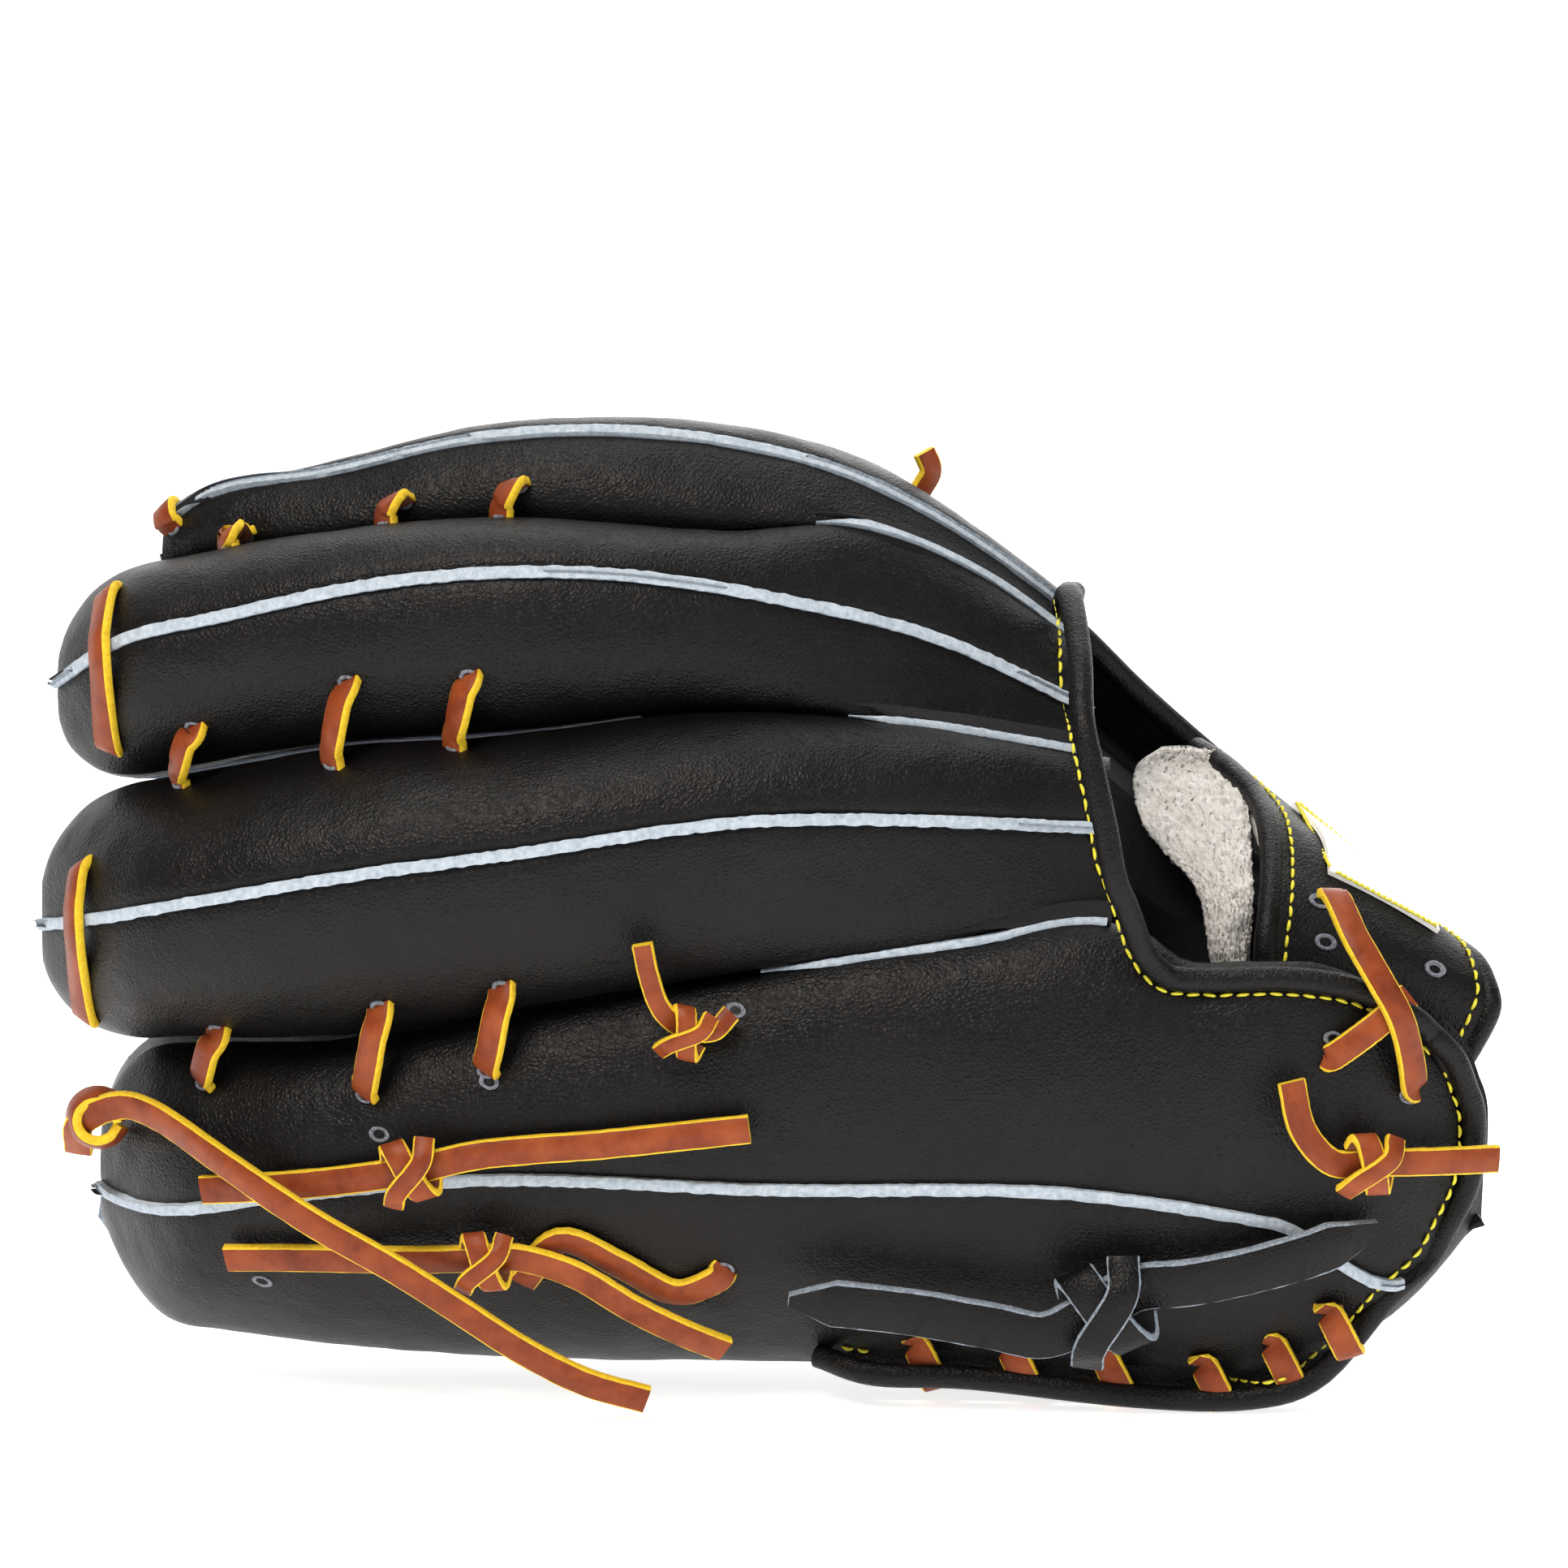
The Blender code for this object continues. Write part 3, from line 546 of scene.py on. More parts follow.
def ring(name, centre, normal, body="finger_side", radius=2.1):
    """A punched hole: a disc of painted shade with a pale raw rim, a little above the leather."""
    centre = np.array(centre, dtype=float)
    normal = unit(normal)
    side = unit(np.cross(normal, (0.3, 0.1, 1.0)))
    other = np.cross(normal, side)
    verts, faces, kinds = [], [], []
    profile = ((0.0, -0.5), (0.55, -0.5), (0.72, 0.12), (0.92, 0.22), (1.1, 0.1), (1.1, -0.8))
    steps = 18
    for k in range(steps):
        a = 2 * math.pi * k / steps
        way = side * math.cos(a) + other * math.sin(a) * 0.72
        for r, h in profile[1:]:
            verts.append(centre + way * r * radius * (1 + 0.04 * random.uniform(-1, 1)) + normal * h)
    rings = len(profile) - 1
    for k in range(steps):
        n = (k + 1) % steps
        for c in range(rings - 1):
            faces.append([k * rings + c, n * rings + c, n * rings + c + 1, k * rings + c + 1])
            kinds.append(1)
    faces.append([k * rings for k in range(steps)])
    kinds.append(0)
    faces.append([k * rings + rings - 1 for k in reversed(range(steps))])
    kinds.append(0)
    return make(name, verts, faces, (SHADOW, HOLE), body, kinds, angle=70)


def stitches(name, points, outs, body="finger_side", pitch=3.6, length=2.7, lift=0.0):
    """A row of lockstitch on a smooth line, one small thread capsule for each stitch."""
    dense = smooth_path(points, 400)
    if np.ndim(outs) == 2:
        outs = smooth_path(outs, 400)
    else:
        outs = np.broadcast_to(np.array(outs, dtype=float), dense.shape)
    steps = np.linalg.norm(np.diff(dense, axis=0), axis=1)
    far = np.concatenate(([0.0], np.cumsum(steps)))
    verts, faces = [], []
    for start in np.arange(0.5, far[-1] - length, pitch):
        lean = random.uniform(-0.18, 0.18)
        for_this = []
        for u in np.linspace(0, 1, 6):
            d = start + length * u
            k = int(np.clip(np.searchsorted(far, d), 1, len(far) - 1))
            p = dense[k - 1] + (dense[k] - dense[k - 1]) * (d - far[k - 1]) / max(far[k] - far[k - 1], 1e-6)
            out = unit(outs[k])
            along = unit(dense[k] - dense[k - 1])
            across = np.cross(along, out)
            centre = p + out * (lift + 0.35 * math.sin(math.pi * u)) + across * lean * (u - 0.5) * 2
            r = 0.42 * (0.45 + 0.55 * math.sin(math.pi * u) ** 0.5)
            for_this.append([centre + (across * math.cos(a) + out * math.sin(a)) * r
                             for a in np.linspace(0, 2 * math.pi, 6, endpoint=False)])
        base = len(verts)
        for loop in for_this:
            verts.extend(loop)
        for k in range(5):
            for c in range(6):
                d = (c + 1) % 6
                near = base + 6 * k
                faces.append([near + c, near + d, near + 6 + d, near + 6 + c])
        faces.append([base + c for c in reversed(range(6))])
        faces.append([base + 30 + c for c in range(6)])
    return make(name, verts, faces, (THREAD,), body, angle=80)


# ---------------------------------------------------------------- camera, light and floor

CAMERA_TARGET = (0.0, -0.0647, 0.140)
CAMERA_ELEVATION = 10.0  # degrees above the horizon
CAMERA_LENS = 250.0
CAMERA_DISTANCE = 2.361
LAMPS = (("key", (-0.5, -1.0, 1.5), 0.8, 26.0), ("fill", (1.3, -1.2, 0.7), 1.2, 6.0),
         ("top", (0.1, 0.5, 1.9), 1.4, 16.0), ("back_fill", (0.2, 1.8, 0.9), 1.2, 9.0))
WARM = (1.0, 0.93, 0.86)
WHITE = (1.0, 1.0, 1.0)


def studio():
    """The camera first, then the seamless paper and soft lights."""
    target = Vector(CAMERA_TARGET)
    elevation = math.radians(CAMERA_ELEVATION)
    camera_data = bpy.data.cameras.new("camera")
    camera_data.lens = CAMERA_LENS
    camera_data.sensor_width = 36.0
    camera_data.clip_end = 50.0
    camera = bpy.data.objects.new("camera", camera_data)
    camera.location = target + Vector((0.0, -math.cos(elevation), math.sin(elevation))) * CAMERA_DISTANCE
    camera.rotation_euler = (target - camera.location).to_track_quat("-Z", "Y").to_euler()
    bpy.context.scene.collection.objects.link(camera)
    bpy.context.scene.camera = camera
    verts, faces = [], []
    profile = [(-3.0, 0.0), (1.2, 0.0)]
    profile += [(1.2 + 1.2 * math.sin(a), 1.2 - 1.2 * math.cos(a)) for a in np.linspace(0.1, math.pi / 2, 14)]
    profile.append((2.4, 4.0))
    for y, z in profile:
        verts += [(-4.0, y, z), (4.0, y, z)]
    for k in range(len(profile) - 1):
        faces.append([2 * k, 2 * k + 1, 2 * k + 3, 2 * k + 2])
    mesh = bpy.data.meshes.new("floor")
    mesh.from_pydata(verts, [], faces)
    mesh.shade_smooth()
    floor = bpy.data.objects.new("floor", mesh)
    paper, _, shader = new_material("floor_paper", (0.93, 0.93, 0.94), 0.9)
    shader.inputs["Emission Color"].default_value = (1.0, 1.0, 1.0, 1.0)
    shader.inputs["Emission Strength"].default_value = 0.8
    mesh.materials.append(paper)
    bpy.context.scene.collection.objects.link(floor)
    world = bpy.data.worlds.new("studio")
    world.use_nodes = True
    world.node_tree.nodes["Background"].inputs["Color"].default_value = (1.0, 1.0, 1.0, 1.0)
    world.node_tree.nodes["Background"].inputs["Strength"].default_value = 0.16
    bpy.context.scene.world = world
    for name, place, size, power in LAMPS:
        lamp = bpy.data.lights.new(name, "AREA")
        lamp.size = size
        lamp.energy = power
        lamp.color = WARM if name == "key" else WHITE
        made = bpy.data.objects.new(name, lamp)
        made.location = place
        made.rotation_euler = (Vector((0.0, 0.0, 0.1)) - Vector(place)).to_track_quat("-Z", "Y").to_euler()
        bpy.context.scene.collection.objects.link(made)
    bpy.context.scene.view_settings.view_transform = "Standard"


# ---------------------------------------------------------------- the glove

TIES = {
    "pinky_long_tail": ([(-152, 13, 52), (-151, 4, 60), (-142, -1, 65), (-133, -9, 64), (-119, -25, 58),
                         (-107, -33.5, 51.5), (-96, -36.5, 45), (-81.5, -36, 36.5), (-67.5, -34, 27),
                         (-53.5, -31, 17), (-39.5, -28, 9), (-26, -26, 4.6)], (-0.1, -0.9, -0.2), 6.3),
    "pinky_tie_upper": ([(-123, -17, 49.5), (-108, -26, 52), (-95, -30, 54), (-84, -33, 56), (-75, -35, 58),
                         (-64, -36.5, 61), (-52, -37, 62.5), (-36, -38.5, 64), (-20, -40, 66), (-3.5, -41, 68)],
                        (-0.1, -1.0, 0.0), 6.3),
    "pinky_tie_lower": ([(-118, -16, 34), (-105, -20.5, 35), (-90, -24, 35.5), (-75, -27, 36), (-63, -30, 37),
                         (-53, -30, 37), (-41, -29.5, 33), (-29, -26.5, 25), (-18, -24, 19), (-9, -20, 14.5)],
                        (-0.1, -0.93, -0.35), 6.3),
    "crease_tie": ([(-26.5, -43, 109), (-25, -42, 101.5), (-22.5, -41, 94.5), (-18, -38.5, 90), (-11.5, -38.5, 89),
                    (-7.5, -36.5, 92.5)], (-0.1, -0.98, 0.1), 4.5),
    "wrist_tie": ([(113.5, -41, 78.5), (116, -41, 68), (122.5, -40, 60.5), (131.5, -38, 60), (143, -35, 59.5),
                   (152, -31, 59), (159, -27, 58.5)], (0.2, -0.97, 0.0), 6.0),
    "pinky_strap_tie": ([(5, -35, 29), (18, -34, 27.5), (33, -33, 25.5), (49, -32.5, 22.5), (61, -32.5, 20.5),
                         (71.5, -34, 26), (80.5, -35, 31.5), (92, -36.5, 33), (106, -37, 36), (120, -36, 40),
                         (133, -33.5, 45)], (0.0, -0.95, -0.3), 11.0),
}


def free_lace(name, points, out, width):
    """A declared cord: the whole lace from one free end, through its knot, to the other."""
    black = name == "pinky_strap_tie"
    made = lace(name + "_lace", points, out, width=width, count=6 * len(points), replaces=(name,), black=black,
                taper=0.16 if black else 0.0)
    return made


def body_of(finger):
    return "thumb_side" if finger == "thumb" else "finger_side"


def panel_grid(finger, upper, rows=80, across=22):
    stall = STALLS[finger]
    start = stall.tip + stall.cut
    outer = (finger in ("pinky", "thumb") and not upper) or (finger == "index" and upper)
    deep = HEM if outer else STALL_WALL
    grid = []
    for s in np.linspace(0.0, 1.0, rows):
        x = start + (stall.wrist - start) * (0.35 * s + 0.65 * s * s)
        profile = np.array([stall.point(x, upper, t) for t in np.linspace(0.0, 1.0, across) ** 0.9])
        into = stall.walls[1 if upper else 0]
        shift = stall.inset(x, upper) * SEAM * 0.45
        wall = 0.8 + (deep - 0.8) * min(max((12.0 - x) / 24.0, 0.0), 1.0)
        profile[0] += shift
        crest = profile[-1].copy()
        back = unit(profile[-2] - profile[-1])
        profile[-1] = crest + back * 1.15
        far = np.linalg.norm(profile - crest, axis=1)
        for k in range(across):
            dip = max(0.0, 1.0 - far[k] / 3.4)
            profile[k] -= stall.out * 1.5 * dip * dip
        feet = [profile[0] - into * wall * f for f in (1.0, 0.6, 0.25)]
        grid.append(feet + list(profile))
    return np.array(grid), -stall.out


def wrinkle(grid, inward, centre, size, pitch, depth, slope):
    """Fine parallel creases in a patch of leather, fading at its border."""
    for i in range(grid.shape[0]):
        for j in range(grid.shape[1]):
            p = grid[i, j]
            dx = (p[0] - centre[0]) / size[0]
            dz = (p[2] - centre[1]) / size[1]
            fade = math.exp(-(dx * dx + dz * dz))
            if fade > 0.03:
                phase = (p[0] + slope * p[2]) / pitch * 2 * math.pi + 2.0 * noise.noise(Vector(p) / 6.0)
                grid[i, j] = p + inward * depth * fade * max(0.0, math.sin(phase))


FACES = []  # the back panels, for the seams that are laid on them


def fingers():
    """The ten back panels, with their creases, and the ridge welts."""
    for finger in STALLS:
        for upper in (False, True):
            grid, inward = panel_grid(finger, upper, rows=150 if finger in ("pinky", "ring") else 90)
            if finger == "pinky" and upper:
                wrinkle(grid, inward, (-97, 72), (12, 14), 2.6, 0.55, 0.15)
                wrinkle(grid, inward, (-44, 78), (9, 10), 2.4, 0.5, -0.3)
            if finger in ("middle", "ring") and not upper:
                wrinkle(grid, inward, (-10, 118 if finger == "ring" else 158), (46, 9), 9.0, 0.5, 0.9)
            name = f"{finger}_back_{'upper' if upper else 'lower'}"
            FACES.append(fine_sheet(name + "_leather", grid, BACK_LEATHER, inward, body_of(finger),
                                    replaces=(name,)))
        welt(finger)


def welt(finger):
    """The raw leather strip along one finger's ridge."""
    stall = STALLS[finger]
    start = stall.tip + stall.cut
    end = min(stall.wrist, 139.0)
    count = 170
    path = [stall.crest(x) + stall.out * (WELT_PROUD - 1.7) for x in np.linspace(start, end, count)]
    section = [(-1.05, -1.6), (1.05, -1.6), (1.3, 1.0), (0.7, 1.4), (0.0, 1.3), (-0.7, 1.4), (-1.3, 1.0)]
    sweep(finger + "_welt_raw", path, stall.out, section, (WELT,), body_of(finger), ragged=0.13,
          replaces=(finger + "_welt",))


def crease_welts():
    """The welts that show in the valleys between the fingers."""
    for name, edge, start, end, stall in (("pinky_ring_welt", PINKY_TOP, -1.0, 74.0, "ring"),
                                          ("ring_middle_welt", RING_TOP, 18.0, 71.0, "middle"),
                                          ("middle_index_welt", MIDDLE_TOP, 11.0, 67.0, "index")):
        seam = line(edge)
        out = STALLS[stall].walls[0]
        path = [seam(x) + out * (0.9 + 0.9 * ease(x, start, start + 12)) for x in np.linspace(start, end, 60)]
        section = [(-0.7, -1.4), (0.7, -1.4), (0.9, 0.9), (0.0, 1.2), (-0.9, 0.9)]
        grow = [(0.25 + 0.75 * ease(k, 0, 14), 1.0) for k in range(60)]
        sweep(name + "_raw", path, out, section, (WELT,), "finger_side", ragged=0.12, grow=grow,
              replaces=(name,))


PALM_ROWS = 60


def palm_grid(names):
    grid = []
    for s in np.linspace(0.0, 1.0, PALM_ROWS):
        row = []
        for finger in names:
            low, middle, high = palm_columns(STALLS[finger], s, *PALM_REACH[finger])
            for t in np.linspace(0.0, 1.0, 9):
                straight = low + (high - low) * t
                row.append(straight + (middle - (low + high) / 2) * math.sin(math.pi * t) ** 0.7)
        grid.append(row)
    return np.array(grid)


def palms():
    """The palm leather of both sides, and the crease that joins them."""
    names = ("pinky", "ring", "middle", "index")
    grid = palm_grid(names)
    skip = [(i, 9 * k + 8) for k in range(3) for i in range(26)]
    fine_sheet("palm_finger_leather", grid, PALM_LEATHER, np.array((0.0, 1.0, 0.0)), "finger_side",
               (SUEDE, RAW_EDGE, LEATHER), skip, 0.5, ("palm_finger_side",))
    thumb = palm_grid(("thumb",))
    fine_sheet("palm_thumb_leather", thumb, PALM_LEATHER, np.array((0.0, -1.0, 0.0)), "thumb_side",
               (SUEDE, RAW_EDGE, LEATHER), (), 0.5, ("palm_thumb_side",))
    crease_a, crease_b = (side[22:, -1] + (0, 0, 0.2) for side in (grid, thumb))
    bridge_sheet("pocket_crease_leather", crease_a, crease_b, (0, 0.1, 1.0), 9.0)


def bridge_sheet(name, front, back, up, arch, thick=2.4):
    """Leather that crosses the fold between the finger side and the thumb side."""
    up = np.array(up, dtype=float)
    grid = []
    for a, b in zip(front, back):
        grid.append([a + (b - a) * t + up * arch * math.sin(math.pi * t) for t in np.linspace(-0.04, 1.04, 12)])
    made = fine_sheet(name, grid, thick, -up, None)
    middle_a = np.mean(front, axis=0)
    middle_b = np.mean(back, axis=0)
    middle_b[0] = middle_a[0]
    middle_b[2] = middle_a[2]
    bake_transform(made)
    return made


def crotch():
    """The outer leather between the index finger and the thumb, above the pocket."""
    index_edge = line(INDEX_EDGE)
    thumb_edge = line(THUMB_TOP)
    xs = np.linspace(-6.0, 67.0, 40)
    front = np.array([index_edge(x) + (0, 0.5, -1.0) for x in xs])
    back = np.array([thumb_edge(x) + (0, 0.5, 0.5) for x in xs])
    bridge_sheet("crotch_leather", front, back, (0, 0.2, 1.0), 2.0)


def web():
    """The web: a formed leather piece with two windows, laced along both of its sides."""
    index_edge = line(INDEX_EDGE)
    thumb_edge = line(THUMB_TOP)
    grid = []
    rows, cols = 53, 29
    for x in np.linspace(-98.0, -14.0, rows):
        a = index_edge(x) + np.array((0.0, 4.5, -3.0))
        b = thumb_edge(x) + np.array((0.0, -3.5, 2.0))
        grid.append([a + (b - a) * t + np.array((0.0, 0.35, 1.0)) * 10.0 * math.sin(math.pi * t)
                     for t in np.linspace(0.0, 1.0, cols)])
    grid = np.array(grid)
    windows = [(i, j) for i in range(16, 32) for j in list(range(4, 12)) + list(range(16, 24))]
    fine_sheet("web_leather", grid, PALM_LEATHER, np.array((0.0, -0.5, -1.0)), "thumb_side",
               (LEATHER, RAW_EDGE, SUEDE), windows, 0.3, ("web",))
    normals = grid_normals(grid)
    normals *= -np.sign(np.sum(normals * (0.0, -0.5, -1.0), axis=2).mean())

    def up(i, j, h=1.8):
        return grid[i, j] + normals[i, j] * h

    for k, i in enumerate(range(3, 50, 6)):
        a, b = up(i, 0, 0.5), up(i + 2, 3)
        mid = up(i + 1, 1, 2.6)
        lace(f"web_lace_index_{k + 1}", [a, mid, b], normals[i, 1], "thumb_side", count=12)
        a, b = up(i, 28, 0.5), up(i + 2, 25)
        mid = up(i + 1, 27, 2.6)
        lace(f"web_lace_thumb_{k + 1}", [a, mid, b], normals[i, 27], "thumb_side", count=12)
        ring(f"web_hole_index_{k + 1}", up(i + 2, 3, 0.1), normals[i + 2, 3], "thumb_side", 2.1)
        ring(f"web_hole_thumb_{k + 1}", up(i + 2, 25, 0.1), normals[i + 2, 25], "thumb_side", 2.1)
    for name, j in (("index", 3), ("thumb", 25)):
        points = [up(i, j + (1 if name == "index" else -1), 0.25) for i in range(2, 51, 6)]
        stitches(f"web_stitch_{name}", points, normals[26, j], "thumb_side")


def felts():
    """The stiffening felts keep their plain shape and get a felt surface."""
    for finger in STALLS:
        for place in bpy.data.objects[finger + "_felt"].material_slots:
            place.material = FELT


LEAN, UPRIGHT = 0.174, 0.985  # how depth and height add up to a height seen from the front
RIM_SEAM = [(63.2, 178.6, -5), (64.8, 165.6, -26), (65.1, 151.9, -38), (67.1, 141.5, -42), (70.0, 128.5, -44),
            (72.3, 116.7, -44), (75.0, 110.2, -42), (78.8, 100.5, -38), (83.4, 95.2, -35.5), (88.5, 92.9, -34.5),
            (98.4, 92.6, -34), (111.4, 92.9, -34), (124.4, 91.3, -33.5), (134.0, 87.6, -32), (142.4, 81.5, -28)]
HEEL_SEAM = [(142.4, 81.5, -28), (147.0, 76.9, -26), (149.6, 70.9, -24), (151.4, 64.9, -22), (150.7, 52.3, -20),
             (145.6, 41.7, -20), (141.7, 35.0, -20), (133.1, 27.1, -22), (119.2, 10.6, -20), (105.1, 6.2, -20),
             (80.4, 6.7, -19), (45.2, 10.6, -18), (23.9, 11.4, -17), (12.0, 15.0, -9)]
RIM_BACK = [(68.5, 50, 171), (67.5, 40, 170), (66.0, 24, 172), (65.0, 8, 174.5)]
RIM_END = [(150.5, -21, 74)]
HEEL_START = [(133, -22, 94), (140, -24, 88)]
STRAP_LEFT = [(109, -19, 86), (109, -19, 103), (110, -15, 111), (111, -6, 119), (111, 8, 127), (109, 22, 131),
              (103, 38, 135), (97, 50, 137)]
STRAP_RIGHT = [(149, -9, 70), (155, -9.5, 80), (159, -9, 89), (158, -3, 95), (155.6, 5, 98), (150, 20, 99),
               (144, 34, 99), (139, 45, 98)]


def strap():
    """The wrist strap with its rolled edges, fleece, plain patch and holes."""
    rows, cols = 60, 26
    left = smooth_path(STRAP_LEFT, rows)
    right = smooth_path(STRAP_RIGHT, rows)
    inward = np.array((-0.2, 0.6, -0.7))
    crown = np.array((0.5, -0.4, 0.75))
    grid = np.array([[a + (b - a) * t + crown * 2.0 * math.sin(math.pi * t) for t in np.linspace(0.0, 1.0, cols)]
                     for a, b in zip(left, right)])
    fine_sheet("wrist_strap_leather", grid, 3.0, inward, "finger_side", rough=0.3,
               replaces=("wrist_strap",))
    normals = grid_normals(grid)
    normals *= np.sign(np.sum(normals * inward, axis=2).mean())
    rolled = round_section(5.2, 5.2, 14)
    for name, j in (("left", 0), ("right", cols - 1)):
        path = grid[:, j] + normals[:, j] * 1.6
        sweep(f"strap_roll_{name}", path, -normals[:, j], rolled, (LEATHER,), "finger_side")
        j_in = j + (2 if j == 0 else -2)
        stitches(f"strap_stitch_{name}", grid[::6, j_in] - normals[::6, j_in] * 0.1, -normals[::6, j_in])
    wool_top = grid + normals * 3.2
    wool = []
    for i in range(2, rows):
        row = []
        for t in np.linspace(0.03, 0.95, 40):
            a, b = wool_top[i, 0], wool_top[i, -1]
            row.append(a + (b - a) * t)
        wool.append(row)
    wool = np.array(wool)
    wool_normals = grid_normals(wool)
    wool_normals *= np.sign(np.sum(wool_normals * inward, axis=2).mean())
    inner = wool.copy()
    for i in range(wool.shape[0]):
        for j in range(wool.shape[1]):
            p = Vector(wool[i, j])
            tuft = 6.5 + 1.6 * noise.noise(p / 5.0) + 1.1 * noise.noise(p / 2.2)
            tuft += random.uniform(-0.35, 0.35)
            edge = min(j, wool.shape[1] - 1 - j, 4) / 4.0
            inner[i, j] = wool[i, j] + wool_normals[i, j] * tuft * (0.35 + 0.65 * edge ** 0.5)
            inner[i, j] += np.array((-1.0, 0.0, 0.0)) * (1.6 if j == 0 else 0.0)
    fleece_pad()
    n_rows, n_cols = wool.shape[:2]
    faces, _ = sheet_faces(n_rows, n_cols)
    make("strap_wool_fleece", np.concatenate((wool.reshape(-1, 3), inner.reshape(-1, 3))), faces, (WOOL,),
         "finger_side", angle=180, replaces=("strap_wool",))
    patch = grid[28:48, 6:20] - normals[28:48, 6:20] * 1.3
    fine_sheet("strap_patch", patch, 1.1, inward, "finger_side", (LABEL, LABEL, LABEL), (), 0.1,
               ("strap_label",))
    corners = (patch[0, 0], patch[-1, 0], patch[-1, -1], patch[0, -1])
    for k, (a, b) in enumerate(zip(corners, corners[1:] + corners[:1])):
        side = [a + (b - a) * t for t in (0.02, 0.25, 0.5, 0.75, 0.98)]
        stitches(f"strap_patch_border_{k + 1}", side, -normals[38, 12], pitch=1.4, length=1.6, lift=0.25)
    for k, (i, j) in enumerate(((14, 6), (18, 18), (22, 5))):
        ring(f"strap_hole_{k + 1}", grid[i, j] - normals[i, j] * 0.25, -normals[i, j], radius=2.3)


def fleece_pad():
    """The lining's fleece where it rolls out beside the strap's near edge, into the hand's opening."""
    rows, cols = 110, 60
    sides = ((146.0, 88.0, 101.0, 40.0), (142.0, 82.5, 104.5, 36.0), (136.0, 81.5, 106.0, 21.0),
             (129.0, 83.0, 106.5, 7.0), (122.0, 88.5, 106.5, -3.0), (114.0, 94.5, 106.5, -11.0),
             (106.0, 96.0, 106.0, -15.0), (97.0, 97.5, 105.0, -16.0))
    sides = smooth_path(sides, rows)
    front, back = [], []
    for v, left, right, y in sides:
        face, rear = [], []
        for t in np.linspace(0.0, 1.0, cols):
            bulge = math.sin(math.pi * t) ** 0.5
            flat = np.array((left + (right - left) * t, y + 5.0, (v - LEAN * (y + 25.0)) / UPRIGHT))
            tuft = noise.noise(Vector(flat) / 4.5) + 0.6 * noise.noise(Vector(flat) / 1.7)
            tuft += random.uniform(-0.4, 0.4)
            face.append(flat + (random.uniform(-0.3, 0.3), -(1.0 + 4.0 * bulge + 1.3 * tuft), 0.9 * tuft))
            rear.append(flat + (0.0, 2.5 * bulge + 0.8, 0.0))
        front.append(face)
        back.append(rear)
    faces, _ = sheet_faces(rows, cols)
    verts = np.concatenate((np.array(front).reshape(-1, 3), np.array(back).reshape(-1, 3)))
    make("strap_fleece_roll", verts, faces, (WOOL,), "finger_side", angle=180)


def bindings():
    """The rolled edges of the hand opening, the heel and the thumb side."""
    tube = round_section(5.4, 5.0, 16)
    seam = front_line(RIM_SEAM, 3.0)
    rim_path = smooth_path(RIM_BACK + [tuple(p) for p in seam] + RIM_END, 110)
    out = np.array([unit(p - np.array((104, 30, 90))) for p in rim_path])
    sweep("rim_binding_roll", rim_path, out, tube, (LEATHER,), "finger_side",
          replaces=("rim_binding",))
    heel_path = smooth_path(HEEL_START + [tuple(p) for p in front_line(HEEL_SEAM, 2.9)], 90)
    sweep("heel_binding_roll", heel_path, (0.0, -1.0, 0.0), tube, (LEATHER,), "finger_side",
          replaces=("heel_binding",))
    tape = [p + (0.0, 8.0, 0.0) for p in front_line(HEEL_SEAM, 1.4)]
    flat = [(-5.0, -0.8), (5.0, -0.8), (5.0, 0.8), (-5.0, 0.8)]
    sweep("heel_edge_tape", smooth_path(tape, 90), (0.0, -1.0, 0.0), flat, (LEATHER,), "finger_side")
    thumb_edge = line(THUMB_TOP)
    path = [thumb_edge(x) + (0, -1.2, 0.8) for x in np.linspace(67.0, 139.0, 50)]
    sweep("thumb_rim_roll", path, (0.2, -0.4, 0.8), round_section(5.6, 5.6, 14), (LEATHER,), "thumb_side")


def front_line(seam, aside):
    """A line beside a seam: the seam is given as X, depth and height as seen from the front of the glove."""
    points = [np.array((x, y, (v - LEAN * (y + 20.0)) / UPRIGHT)) for x, v, y in seam]
    beside = []
    for k, point in enumerate(points):
        along = points[min(k + 1, len(points) - 1)] - points[max(k - 1, 0)]
        along[1] = 0.0
        beside.append(point - unit((along[2], 0.0, -along[0])) * aside)
    return beside


def surface(finger, x, upper, t, lift):
    """A point over a back panel, and the direction that faces out of it there."""
    stall = STALLS[finger]
    p = stall.point(x, upper, t)
    e = 0.02
    du = stall.point(x + 1.0, upper, t) - stall.point(x - 1.0, upper, t)
    dt = stall.point(x, upper, min(t + e, 1.0)) - stall.point(x, upper, t - e)
    n = unit(np.cross(du, dt))
    n *= np.sign(np.dot(n, p - stall.core(x)))
    return p + n * lift, n


def seam_stitching():
    """Yellow lockstitch along the rim and heel seams, set on the leather's face."""
    for name, seam in (("rim_stitch", RIM_SEAM), ("heel_stitch", HEEL_SEAM)):
        dense = smooth_path(front_line(seam, -0.6), 60)
        points, outs = [], []
        for p in dense:
            hit, normal = on_face(p)
            points.append(hit)
            outs.append(normal)
        stitches(name, points[::2], outs[::2], lift=0.2)


def on_face(p):
    """The point of the fine leather straight in front of a place, or the place itself where there is none."""
    start = (Vector(p) - Vector(ORIGIN)) * MM
    start.y = -0.16
    best, normal = None, None
    for piece in FACES:
        hit, where, facing, _ = piece.ray_cast(start, Vector((0.0, 1.0, 0.0)), distance=0.14)
        if hit and (best is None or where.y < best.y):
            best, normal = where, facing
    if best is None:
        return np.array(p) - (0.0, 1.0, 0.0), np.array((0.0, -1.0, 0.0))
    return np.array(best) / MM + ORIGIN, np.array(normal)


